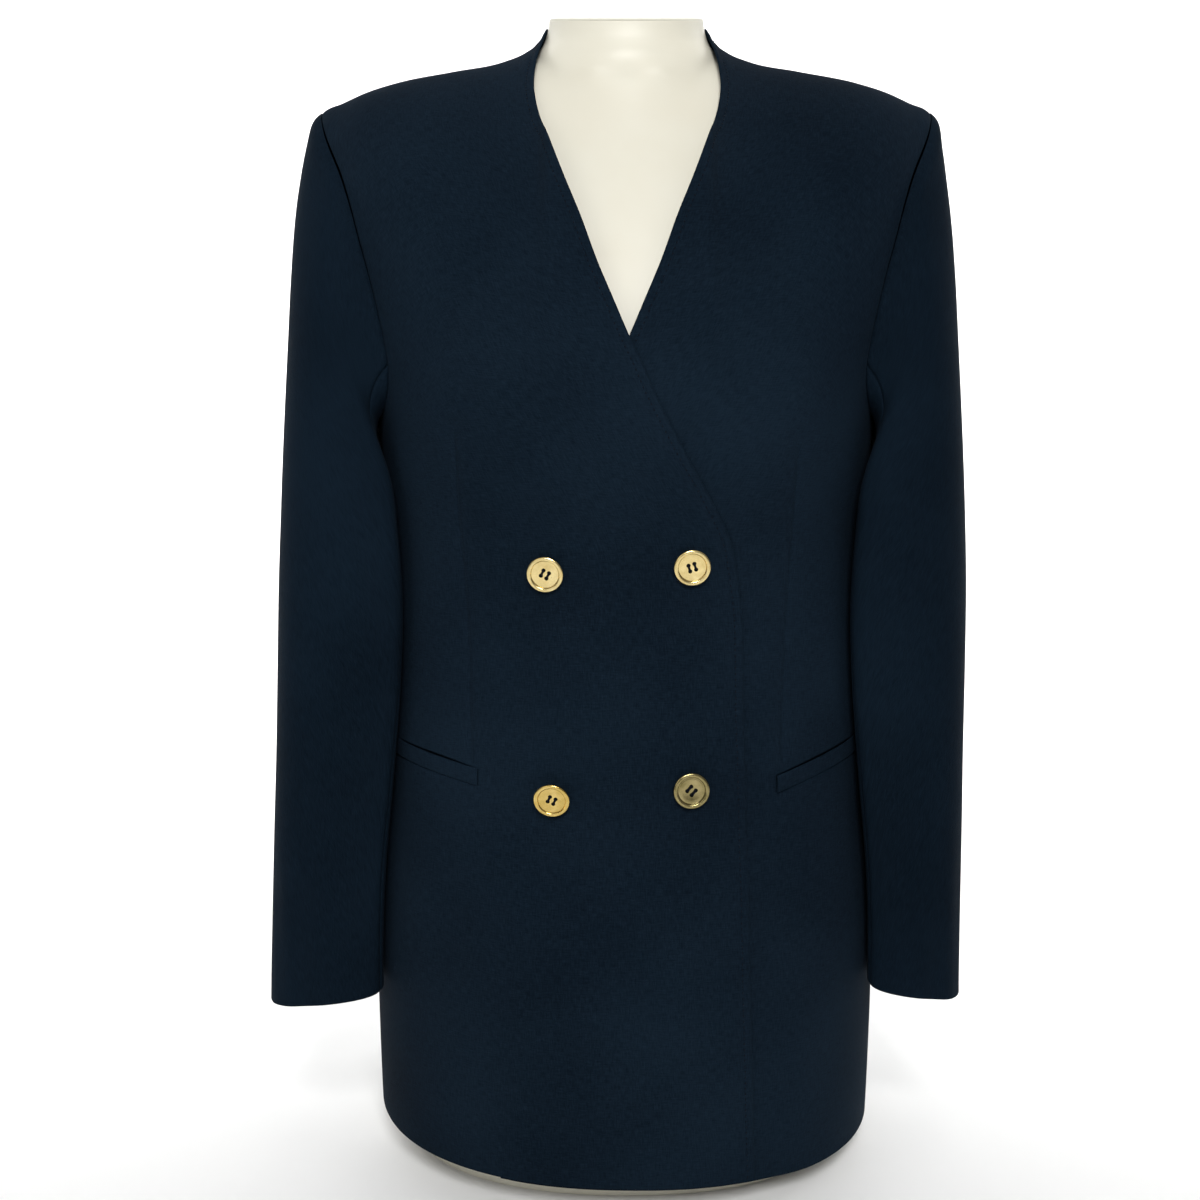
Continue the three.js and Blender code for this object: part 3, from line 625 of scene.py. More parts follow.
@dataclass(frozen=True)
class Thread:
    """A dark sewing thread."""

    colour: Triple = (0.003, 0.004, 0.007)
    roughness: float = 0.6

    def make(self) -> Material:
        """Builds the finish, with the thread's twist as a fine bump."""
        n = Nodes("dark_thread")
        twist = n.noise(n.object_place(), 2600.0, 1.0)
        lighter = tuple(1.9 * value for value in self.colour)
        return n.finish({
            "Base Color": n.ramp(twist, (0.35, self.colour), (0.65, lighter)),
            "Normal": n.bump(twist, 0.4, 0.0001), "Specular IOR Level": 0.05, "Roughness": self.roughness,
        })


@dataclass(frozen=True)
class Gilt:
    """Polished pale gilt metal with a faint cloud in its colour and roughness, and a fine bump."""

    name: str
    deep: Triple
    pale: Triple
    roughness: float = 0.24

    def make(self) -> Material:
        """Builds the finish on the piece's own coordinates."""
        n = Nodes(self.name)
        place = n.object_place()
        cloud = n.noise(place, 160.0, 4.0, 0.6)
        return n.finish({
            "Base Color": n.ramp(cloud, (0.32, self.deep), (0.68, self.pale)), "Metallic": 1.0,
            "Roughness": n.math("ADD", n.math("MULTIPLY", cloud, 0.16), self.roughness - 0.08),
            "Normal": n.bump(n.noise(place, 700.0, 2.0), 0.05, 0.0002),
        })


@dataclass(frozen=True)
class Enamel:
    """The form's smooth cream-white coat."""

    colour: Triple = (0.77, 0.745, 0.635)
    warm: Triple = (0.735, 0.70, 0.58)
    roughness: float = 0.5

    def make(self) -> Material:
        """Builds the finish on the piece's own coordinates."""
        n = Nodes("cream_enamel")
        place = n.object_place()
        cloud = n.noise(place, 14.0, 3.0, 0.5)
        return n.finish({
            "Base Color": n.ramp(cloud, (0.3, self.warm), (0.7, self.colour)),
            "Normal": n.bump(n.noise(place, 220.0, 3.0), 0.08, 0.0004),
            "Roughness": self.roughness, "Coat Weight": 0.12, "Coat Roughness": 0.3,
        })


@dataclass(frozen=True)
class Paper:
    """The studio's pale floor and backdrop."""

    colour: Triple = (0.93, 0.93, 0.925)

    def make(self) -> Material:
        """Builds the finish, with the faintest cloud in its colour."""
        n = Nodes("studio_paper")
        cloud = n.noise(n.object_place(), 3.0)
        near = tuple(0.985 * value for value in self.colour)
        return n.finish({"Base Color": n.ramp(cloud, (0.3, near), (0.7, self.colour)),
                         "Roughness": 0.9, "Specular IOR Level": 0.1})


class Dresser:
    """Shares one set of finishes and settles how each piece belongs to the part."""

    def __init__(self) -> None:
        """Makes each finish once."""
        self.wool = Wool("navy_wool", (0.0025, 0.0060, 0.0112), (0.0070, 0.0152, 0.0262)).make()
        # The sleeves' wool is the same cloth with darker stops: painted shade, for the sleeves turning away
        # from the light and shaded by the body.
        self.shaded_sleeve_wool = Wool("sleeve_wool_painted_shade", (0.0018, 0.0047, 0.0088), (0.0050, 0.0117, 0.0208)).make()
        self.thread = Thread().make()
        # One gilt for all buttons. Its warmer and darker copies are painted reflection.
        self.gilt = {
            Tone.PALE: Gilt("pale_gilt", (0.72, 0.55, 0.23), (0.90, 0.74, 0.37)).make(),
            Tone.WARM_PAINTED_REFLECTION: Gilt("gilt_warm_painted_reflection", (0.62, 0.43, 0.11), (0.82, 0.61, 0.22)).make(),
            Tone.DARK_PAINTED_REFLECTION: Gilt("gilt_dark_painted_reflection", (0.24, 0.20, 0.08), (0.42, 0.35, 0.17)).make(),
        }
        self.enamel = Enamel().make()
        self.paper = Paper().make()

    def dress(self, made: Object, finish: Material,
              node: str | None = None) -> Object:
        """Gives a piece its finish, and lets it ride on the root body.

        Args:
            made: the piece.
            finish: its material.
            node: the CAD node that it stands for, if any.

        Returns:
            The same piece.
        """
        made.data.materials.clear()
        made.data.materials.append(finish)
        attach(made, "root")
        if node:
            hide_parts(node)
        LOG.info("%s: %d faces", made.name, len(made.data.polygons))
        return made


    def sew(self, name: str, side: "Side", outer: Array, inward: Array, free: tuple[str, ...],
            finish: Material) -> Object:
        """Makes a piece of cloth on its own side of the garment.

        Args:
            name: the CAD node that it stands for.
            side: the side that it is moved to.
            outer: the grid of its outer surface, at X above 0.
            inward: vectors from its outer to its inner surface.
            free: the edges that aren't sewn.
            finish: its material.

        Returns:
            The dressed piece.
        """
        made = Mesher.shell(f"cloth_{name}", outer * side.mirror, inward * side.mirror, free)
        return self.dress(made, finish, name)


@dataclass(frozen=True)
class Side:
    """One side of the garment. The wearer's right is at -X.

    hang and swing move the sleeve outward at its top and at its cuff, the rises lift the cuff
    and the side's hem, and welt_in and welt_out are the heights of the pocket's two ends.
    """

    name: str
    sign: int
    laps: bool
    hang: float
    swing: float
    cuff_rise: float
    hem_rise: float
    welt_in: float
    welt_out: float

    @property
    def mirror(self) -> Array:
        """What a point on the side with X above 0 is multiplied by."""
        return np.array([self.sign, 1, 1])


RIGHT = Side("right", -1, True, 2.3, 5.0, 0.0, 4.0, 291.0, 297.0)
LEFT = Side("left", 1, False, -2.3, -5.0, 5.0, -3.0, 286.5, 299.0)


@dataclass(frozen=True)
class Cut:
    """What shows of a sheet, laid flat, in metres, as measured on these surfaces."""

    width: float
    length: float
    area: float | None = None

    def declare(self, made: Object, grid: Array, held: str, rests_on: list[str],
                trim: tuple[Object, ...] = ()) -> None:
        """Logs what a piece's grid measures: its longest row, its longest column and its area.

        Args:
            made: the piece.
            grid: the points of its outer surface.
            held: how the cloth is held; not used.
            rests_on: the names of what it lies on; not used.
            trim: the separate pieces on it; not used.
        """
        one, other = grid[1:, 1:] - grid[:-1, :-1], grid[1:, :-1] - grid[:-1, 1:]
        area = np.linalg.norm(np.cross(one, other), axis=-1).sum() / 2 * MILLIMETRE**2
        LOG.info("%s: longest row %.0f mm, longest column %.0f mm, %.4f m2", made.name,
                 lengths(grid, 1)[:, -1].max(), lengths(grid, 0)[-1].max(), area)


# The dart of each front, from the pocket up to its tip: height and distance from the centre

DARTS = {
    "right": Table("z x", [(295, 100.5), (340, 101.5), (380, 102.5), (421, 105), (456, 108), (506, 110)]),
    "left": Table("z x", [(297, 100), (334, 100.5), (398, 103), (440, 104.5), (487, 107), (498, 107.5)]),
}

FRONT_FOLDS = {
    "right": (
        Fold((20, 560), (140, 470), 2.2, 26, 8), Fold((60, 640), (150, 560), 1.6, 24, -6),
        Fold((120, 500), (160, 380), 2.4, 17, 5), Fold((30, 470), (95, 425), 1.4, 11, 3),
        Fold((50, 395), (120, 350), 1.6, 13, -4), Fold((60, 300), (30, 170), 1.8, 17, 4),
        Fold((110, 270), (135, 90), 2.6, 20, -6), Fold((-20, 400), (20, 330), -1.2, 15, 3),
        Fold((40, 240), (70, 60), -1.8, 22, 5), Fold((-60, 200), (-35, 60), 1.5, 15, 3),
        Fold((70, 420), (100, 300), -1.0, 14, 0), Fold((150, 300), (160, 150), 1.8, 12, 2),
    ),
    "left": (
        Fold((24, 565), (138, 480), 2.0, 25, 7), Fold((70, 650), (155, 580), 1.5, 22, -6),
        Fold((125, 495), (158, 390), 2.2, 16, 6), Fold((60, 410), (125, 372), 1.5, 12, -3),
        Fold((105, 275), (128, 110), 2.4, 19, -5), Fold((60, 260), (75, 80), -1.7, 20, 4),
        Fold((145, 310), (158, 170), 1.7, 12, 3), Fold((60, 480), (100, 440), 1.2, 10, 2),
        Fold((84, 420), (94, 310), -0.9, 12, 0), Fold((80, 210), (60, 60), 1.4, 15, 3),
    ),
}
BACK_FOLDS = {
    "right": (
        Fold((20, 600), (120, 640), 1.8, 22, 5), Fold((10, 420), (110, 395), 2.0, 15, 4),
        Fold((30, 372), (140, 350), 1.6, 13, -4), Fold((80, 330), (70, 90), -2.0, 24, 5),
        Fold((120, 300), (130, 100), 2.3, 18, -4), Fold((35, 280), (30, 60), 1.6, 18, 3),
    ),
    "left": (
        Fold((16, 585), (128, 630), 1.6, 22, 5), Fold((14, 405), (120, 385), 1.9, 14, 5),
        Fold((40, 360), (135, 335), 1.5, 14, -3), Fold((72, 320), (66, 80), -1.9, 23, -5),
        Fold((116, 310), (126, 110), 2.2, 19, 4), Fold((36, 260), (26, 50), 1.5, 17, -3),
    ),
}
SLEEVE_FOLDS = {
    "right": (
        Fold((78, 440), (96, 120), 4.6, 19, 4), Fold((58, 250), (70, 60), 2.6, 13, 3),
        Fold((34, 230), (44, 70), 1.6, 10, 2), Fold((-60, 430), (-100, 330), 3.0, 20, 6),
        Fold((110, 400), (60, 340), 2.0, 13, 5), Fold((20, 690), (70, 600), 1.0, 14, 4),
        Fold((60, 560), (96, 460), 1.9, 18, 5), Fold((-20, 300), (-60, 150), -1.3, 22, 4),
    ),
    "left": (
        Fold((84, 430), (92, 130), 4.2, 20, -4), Fold((60, 230), (66, 60), 2.4, 13, 3),
        Fold((40, 250), (36, 70), 1.5, 10, -2), Fold((-56, 440), (-104, 345), 3.0, 19, 5),
        Fold((114, 395), (64, 350), 2.1, 14, -5), Fold((26, 680), (76, 600), 0.9, 14, 4),
        Fold((64, 550), (100, 455), 1.7, 17, 4), Fold((-24, 310), (-54, 160), -1.2, 20, 4),
    ),
}


# Dents in the front that laps over, beside its buttons: place across and up, and depth

LAP_DENTS = ((-51, 405, 0.5), (39, 409, 0.6), (-47, 262, 0.7), (39, 268, 0.5), (48, 283, 0.5))


class Panel:
    """A front or half a back: rows from the hem up, columns from the free edge to the side.

    kind names its column of the armhole, neck_z is where its free edge ends, outward is the
    sign of its normals, and free holds the edges that aren't sewn.
    """

    kind: str
    columns: int
    lower_rows: int
    upper_rows: int
    neck_z: float
    outward: float
    free: tuple[str, ...]
    cut: Cut

    def __init__(self, side: Side) -> None:
        """Keeps the side that the panel is on."""
        self.side = side

    def depth_at(self, x: Array, z: Array) -> Array:
        """Where the outer surface lies."""
        raise NotImplementedError

    def lower_parts(self) -> Array:
        """How far up each row below the underarm starts, as parts from 0 to 1."""
        return np.linspace(0, 1, self.lower_rows)

    def free_edge(self, z: Array) -> Array:
        """The free edge's distance from the centre on its own side."""
        raise NotImplementedError

    def spread(self, start: Array, finish: Array, side_z: Array) -> Array:
        """How far each column is from the free edge to the side, as parts from 0 to 1."""
        raise NotImplementedError

    def top_cut(self, x: Array) -> Array:
        """The height of the upper edge."""
        raise NotImplementedError

    def relief(self, grid: Array) -> Array:
        """How far the panel's own seams, folds and pockets press it in."""
        raise NotImplementedError

    def inward(self, normals: Array) -> Array:
        """The way through the cloth."""
        return -normals * CLOTH

    def trim(self, dresser: Dresser, outer: Array, normals: Array) -> tuple[Object, ...]:
        """The separate pieces sewn on the panel."""
        return ()

    def make(self, dresser: Dresser) -> None:
        """Builds the panel, pressed in by its relief along its normals, and what is sewn on it."""
        plain = self.grid()
        normals = self.directions(plain)
        outer = plain - normals * (self.seams(plain) + self.relief(plain))[..., None]
        name = f"{self.kind}_{self.side.name}"
        made = dresser.sew(name, self.side, outer, self.inward(normals), self.free, dresser.wool)
        mirror = self.side.mirror
        trim = self.trim(dresser, outer * mirror, normals * mirror)
        self.cut.declare(made, outer, "hung", ["dress_form"], trim)

    def grid(self) -> Array:
        """The points of the outer surface, for the side with X above 0.

        A row runs between two ends and its points are spread by the angle round the girth
        section. Above the underarm a row is lifted towards the cut of the upper edge by the
        cube of the part of the way up.

        Returns:
            Points, rows first.
        """
        low = self.lower_parts()
        high = np.linspace(0, 1, self.upper_rows)[1:] ** ROW_POWER
        hem_side = HEM_FRONT + self.side.hem_rise
        edge_z = np.concatenate([mix(HEM_FRONT, UNDERARM, low), mix(UNDERARM, self.neck_z, high)])
        side_z = np.concatenate([mix(hem_side, UNDERARM, low), mix(UNDERARM, SHOULDER_POINT, high)])
        lift = np.concatenate([0 * low, high])
        edge = self.free_edge(edge_z)
        reach = np.where(side_z <= UNDERARM, BODY("half", side_z), ARMHOLE(self.kind, side_z))
        start, finish = self.angle(edge, edge_z), self.angle(reach, side_z)
        s = self.spread(start, finish, side_z)
        turn = mix(start[:, None], finish[:, None], s)
        level = mix(edge_z[:, None], side_z[:, None], s)
        x = np.sign(turn) * np.abs(np.sin(turn)) ** (2 / GIRTH_POWER) * BODY("half", level)
        x[:, -1] = reach
        part = np.clip((x - edge[:, None]) / (reach - edge)[:, None], 0, 1)
        line = mix(edge_z[:, None], side_z[:, None], part)
        straight = mix(self.neck_z, SHOULDER_POINT, part)
        z = line + lift[:, None] ** 3 * (self.top_cut(x) - straight)
        return np.stack([x, self.depth_at(x, z), z], axis=-1)

    @staticmethod
    def angle(x: Array, z: Array) -> Array:
        """The angle round the girth section at a place."""
        part = np.clip(np.abs(x) / BODY("half", z), 0, 1)
        return np.sign(x) * np.arcsin(part ** (GIRTH_POWER / 2))

    def directions(self, grid: Array) -> Array:
        """The outward normals, turned into the seams' own planes near the seams.

        Args:
            grid: points, rows first.

        Returns:
            One unit vector a point.
        """
        normals = grid_normals(grid, self.outward)
        from_side = lengths(grid[:, ::-1], 1)[:, ::-1]
        seam = armhole_direction(grid[:, -1])
        seam[:self.lower_rows - 1] = (1, 0, 0)
        near = 1 - ease(0, 7, from_side)[..., None]
        normals = unit(mix(normals, seam[:, None], near))
        from_top = lengths(grid[::-1], 0)[::-1]
        flat = normals * (1, 0, 1)
        return unit(mix(normals, flat, 1 - ease(0, 6, from_top)[..., None]))

    def seams(self, grid: Array) -> Array:
        """How far the seams press the cloth in: a fine groove and a soft valley beside each.

        Args:
            grid: points, rows first.

        Returns:
            Depths.
        """
        from_side = lengths(grid[:, ::-1], 1)[:, ::-1]
        from_top = lengths(grid[::-1], 0)[::-1]
        sunk = seam_press(from_side, 0.5, 0.5, 7) + seam_press(from_top, 0.5, 0.3, 6)
        pucker = np.sin(grid[..., 2] * 0.33 + 2 * np.sin(grid[..., 2] * 0.071))
        return sunk + 0.16 * pucker * bell(from_side - 4, 5)


class Front(Panel):
    """A front with its dart, its turned-under free edge and the stitches along it."""

    kind = "front"
    columns = 104
    lower_rows = 176
    upper_rows = 130
    neck_z = NECK_POINT
    outward = 1.0
    free = ("first", "bottom")
    cut = Cut(0.352, 0.828, 0.203)
    dart_column = 0.64
    pocket_row = 0.554

    def lower_parts(self) -> Array:
        """Rows crowd along the pocket."""
        return crowded(self.lower_rows, (self.pocket_row, 6, 0.034))

    def depth_at(self, x: Array, z: Array) -> Array:
        """The front surface, kept ahead of the shoulder seam's plane."""
        return np.minimum(front_y(x, z), SEAM_Y - SEAM_GAP / 2)

    def free_edge(self, z: Array) -> Array:
        """The front edge and the neckline."""
        return edge_out(z)

    def top_cut(self, x: Array) -> Array:
        """The shoulder seam runs along the ridge."""
        return ridge(x)

    def spread(self, start: Array, finish: Array, side_z: Array) -> Array:
        """Columns crowd along the dart and both ends."""
        base = crowded(self.columns, (self.dart_column, 2.6, 0.022), (0, 1.9, 0.035), (1, 1.6, 0.03))
        dart_x = DARTS[self.side.name]("x", side_z)
        centre = (self.angle(dart_x, side_z) - start) / (finish - start)
        centre = mix(self.dart_column, centre, 1 - ease(560, 700, side_z))[:, None]
        before = base * centre / self.dart_column
        after = 1 - (1 - base) * (1 - centre) / (1 - self.dart_column)
        return np.where(base < self.dart_column, before, after)

    def dart(self, grid: Array) -> Array:
        """How far the dart presses in: a fine line with a soft valley that ends in a dimple."""
        table = DARTS[self.side.name]
        low, tip = table.rows[0, 0], table.rows[-1, 0]
        x, z = grid[..., 0], grid[..., 2]
        aside = x - table("x", z)
        sewn = ease(low - 4, low, z) * (1 - ease(tip - 6, tip + 1, z))
        soft = ease(low - 10, low + 30, z) * (1 - ease(tip - 30, tip + 12, z))
        dimple = 1.2 * bell(aside, 7) * bell(z - tip - 2, 7)
        line = sewn * (0.75 * bell(aside, 0.9) + 0.5 * bell(aside, 3))
        return line + soft * 1.1 * bell(aside, 11) + dimple

    def stitched_edge(self, grid: Array) -> Array:
        """The free edge's roll, and the shallow channel that its stitches pull in."""
        from_edge = lengths(grid, 1)
        up = lengths(grid, 0)[:, :1]
        pull = 0.75 + 0.25 * np.sin(up * 2 * math.pi / (4 * STITCH_STEP) + 1.3 * np.sin(up * 0.05))
        channel = 0.42 * pull * bell(from_edge - STITCH_INSET, 1.5)
        wave = 0.35 * np.sin(up * 0.061) + 0.2 * np.sin(up * 0.147 + 1)
        return channel + wave * bell(from_edge, 14)

    def inset(self, grid: Array) -> Array:
        """How far the front below is set in where the other laps over it."""
        if self.side.laps:
            return np.zeros(grid.shape[:2])
        beyond = grid[..., 0] + edge_out(grid[..., 2])
        return (CLOTH + LAP_GAP) * (1 - ease(5, 42, beyond))

    def relief(self, grid: Array) -> Array:
        """The dart, the stitched edge, the folds, the pocket, the lap and the dents by its buttons."""
        x, z = grid[..., 0], grid[..., 2]
        folds = pressed(FRONT_FOLDS[self.side.name], x, z) * ease(-6, 22, lengths(grid, 1))
        total = self.dart(grid) + self.stitched_edge(grid) + folds
        total += Welt.recess(x, z, self.side) + self.inset(grid)
        for dent_x, dent_z, depth in LAP_DENTS if self.side.laps else ():
            total += depth * bell(np.hypot(x * self.side.sign - dent_x, z - dent_z), 14)
        return total

    def trim(self, dresser: Dresser, outer: Array, normals: Array) -> tuple[Object, ...]:
        """Small stitches in even steps a little inside the free edge, from the hem to the shoulder.

        The stitch line is found on every row by its distance from the edge, and then walked.
        """
        from_edge = lengths(outer, 1)
        column = np.clip((from_edge < STITCH_INSET).sum(axis=1), 1, outer.shape[1] - 1)
        row = np.arange(len(outer))
        near, far = from_edge[row, column - 1], from_edge[row, column]
        part = ((STITCH_INSET - near) / (far - near))[:, None]
        line = mix(outer[row, column - 1], outer[row, column], part)
        lift = mix(normals[row, column - 1], normals[row, column], part)
        walked = lengths(line[None], 1)[0]
        at = np.arange(3.0, walked[-1] - 3, STITCH_STEP)
        at = at + 0.25 * np.sin(at * 1.7)
        place, ahead, out = (
            np.stack([np.interp(where, walked, values[:, k]) for k in range(3)], axis=-1)
            for where, values in ((at, line), (at + STITCH_HALF, line), (at, lift))
        )
        centre, half = place + out * STITCH_PROUD, ahead - place
        name = f"edge_stitches_{self.side.name}"
        thread = Mesher.capsules(name, centre - half, centre + half, STITCH_RADIUS)
        return (dresser.dress(thread, dresser.thread),)


class Back(Panel):
    """Half of the back, from the centre seam to the side."""

    kind = "back"
    columns = 78
    lower_rows = 120
    upper_rows = 110
    neck_z = BACK_NECK
    outward = -1.0
    free = ("bottom",)
    cut = Cut(0.250, 0.804, 0.169)

    def depth_at(self, x: Array, z: Array) -> Array:
        """The back surface, kept behind the shoulder seam's plane."""
        return np.maximum(back_y(x, z), SEAM_Y + SEAM_GAP / 2)

    def free_edge(self, z: Array) -> Array:
        """The centre seam."""
        return 0 * z + SEAM_GAP / 2

    def top_cut(self, x: Array) -> Array:
        """The neckline, a shallow curve, and then the shoulder seam."""
        return np.minimum(ridge(x), BACK_NECK - (BACK_NECK - NECK_POINT) * (x / NECK_HALF) ** 2)

    def spread(self, start: Array, finish: Array, side_z: Array) -> Array:
        """Columns crowd along the centre seam and the side."""
        base = crowded(self.columns, (0, 1.8, 0.03), (1, 1.6, 0.03))
        return np.broadcast_to(base, (len(start), self.columns))

    def relief(self, grid: Array) -> Array:
        """The centre seam and the folds."""
        from_centre = lengths(grid, 1)
        folds = pressed(BACK_FOLDS[self.side.name], grid[..., 0], grid[..., 2])
        return seam_press(from_centre, 0.5, 0.5, 8) + folds * ease(0, 25, from_centre)

    def inward(self, normals: Array) -> Array:
        """The way through the cloth, kept in the centre seam's own plane there."""
        inward = super().inward(normals)
        inward[:, 0, 0] = 0
        return inward


# The sleeve's long hollows: depth, degrees round, width, first and last row

SLEEVE_HOLLOWS = ((5, 96, 26, 8.5, 15.5), (2.4, 62, 20, 12.5, 16.5), (4, -100, 28, 7.5, 12.5))


class Sleeve:
    """A two-piece sleeve: a tube of rings from the armhole to the cuff, cut at its two seams."""

    rows = 170
    upper_columns, upper_cut = 84, Cut(0.236, 0.604, 0.1196)
    under_columns, under_cut = 46, Cut(0.142, 0.440, 0.0408)

    def __init__(self, side: Side) -> None:
        """Keeps the side that the sleeve is on."""
        self.side = side

    @staticmethod
    def armhole_point(angle: Array) -> Array:
        """A point of the armhole. 0 degrees is the shoulder, 90 the front, 180 the underarm."""
        radians = np.radians(angle)
        middle = (SHOULDER_POINT + UNDERARM) / 2
        z = middle + (SHOULDER_POINT - middle) * np.cos(radians)
        ahead = np.sin(radians) >= 0
        x = np.where(ahead, ARMHOLE("front", z), ARMHOLE("back", z))
        return np.stack([x, np.where(ahead, front_y(x, z), back_y(x, z)), z], axis=-1)

    def ring_point(self, row: Array, angle: Array) -> Array:
        """A point of a ring before the armhole's own shape is added: a squared ellipse."""
        radians = np.radians(angle)
        cosine, sine = np.cos(radians), np.sin(radians)
        power = 2 / SLEEVE_POWER
        outward = (1 + np.sign(cosine) * np.abs(cosine) ** power) / 2
        mid = SLEEVE("mid", row)
        y = mid - SLEEVE("half", row) * np.sign(sine) * np.abs(sine) ** power
        hug = ease(2.7, 7, row)
        hugged = mix(mid, y, hug)
        across = outward * (1 - HUG * hug * (1 - outward) ** 3)
        in_x = side_x(hugged, SLEEVE("in_z", row)) + SLEEVE_CLEAR
        out_x = SLEEVE("out_x", row) + self.side.hang * ease(0, 4, row)
        down = ease(CAP_ROWS, CUFF_ROW, row)
        out_x = out_x + self.side.swing * down
        z = mix(SLEEVE("in_z", row), SLEEVE("out_z", row), outward) + self.side.cuff_rise * down
        return np.stack([mix(in_x, out_x, across), y, z], axis=-1)

    def tube(self) -> tuple[Array, Array, Array, Array]:
        """The whole tube on the side with X above 0.

        Returns:
            Outer points, outward normals, degrees round and rows.
        """
        turn = 360 + BACK_SLEEVE_SEAM - FRONT_SLEEVE_SEAM
        upper = np.linspace(BACK_SLEEVE_SEAM, FRONT_SLEEVE_SEAM, self.upper_columns, endpoint=False)
        under = np.linspace(FRONT_SLEEVE_SEAM, FRONT_SLEEVE_SEAM + turn, self.under_columns, endpoint=False)
        angle = np.concatenate([upper, np.where(under > 180, under - 360, under)])[None]
        row = (np.linspace(0, 1, self.rows) ** ROW_POWER * CUFF_ROW)[:, None]
        angle, row = np.broadcast_arrays(angle, row)
        fade = (1 - ease(0, CAP_ROWS, row))[..., None]
        points = self.ring_point(row, angle)
        points = points + fade * (self.armhole_point(angle) - self.ring_point(0 * row, angle))
        points[..., 0] += mix(ARMHOLE_SEAM, ARMHOLE_GAP, ease(0, 1.2, row))
        normals = grid_normals(points, 1, ring=True)
        seam = armhole_direction(points)
        return points, unit(mix(seam, normals, ease(0, 0.7, row)[..., None])), angle, row

    def make(self, dresser: Dresser) -> None:
        """Builds both pieces."""
        points, normals, angle, row = self.tube()
        relief = 0.55 * pressed(SLEEVE_FOLDS[self.side.name], angle, points[..., 2])
        for depth, middle, width, start, end in SLEEVE_HOLLOWS:
            relief += depth * bell(angle - middle, width) * self.reach(row, start, end)
        from_seam = lengths(points, 0)
        over_cap = ease(-0.2, 0.5, np.cos(np.radians(angle)))
        relief += 0.5 * bell(from_seam, GROOVE) - 0.9 * bell(from_seam - 9, 8) * over_cap
        for seam in (FRONT_SLEEVE_SEAM, BACK_SLEEVE_SEAM):
            apart = np.abs((angle - seam + 180) % 360 - 180)
            relief += 0.55 * bell(apart, 1.4) + 0.5 * bell(apart, 7)
        outer = points - normals * relief[..., None]
        self.piece(dresser, "upper", outer, normals, 0, self.upper_columns, self.upper_cut)
        self.piece(dresser, "under", outer, normals, self.upper_columns, self.under_columns,
                   self.under_cut)

    @staticmethod
    def reach(row: Array, start: float, end: float) -> Array:
        """A squared cosine over some rows, 1 in their middle and 0 at their ends."""
        apart = np.abs(row - (start + end) / 2) / ((end - start) / 2)
        return np.cos(np.clip(apart, 0, 1) * math.pi / 2) ** 2

    def piece(self, dresser: Dresser, part: str, outer: Array, normals: Array, first: int,
              columns: int, cut: Cut) -> None:
        """One piece of the sleeve: the columns between its two seams.

        Args:
            dresser: the finishes.
            part: upper or under.
            outer: the tube's points.
            normals: the tube's normals.
            first: its first column.
            columns: how many steps it has.
            cut: its flat size.
        """
        pick = (first + np.arange(columns + 1)) % outer.shape[1]
        strip, out = outer[:, pick].copy(), normals[:, pick]
        strip[:, 0] += unit(strip[:, 1] - strip[:, 0]) * SLEEVE_SEAM_GAP / 2
        strip[:, -1] += unit(strip[:, -2] - strip[:, -1]) * SLEEVE_SEAM_GAP / 2
        name = f"sleeve_{self.side.name}_{part}"
        # The sleeves take the darker copy of the wool, whose darkness is painted shade.
        made = dresser.sew(name, self.side, strip, -out * CLOTH, ("top",), dresser.shaded_sleeve_wool)
        cut.declare(made, strip, "hung", [f"cloth_front_{self.side.name}", f"cloth_back_{self.side.name}"])


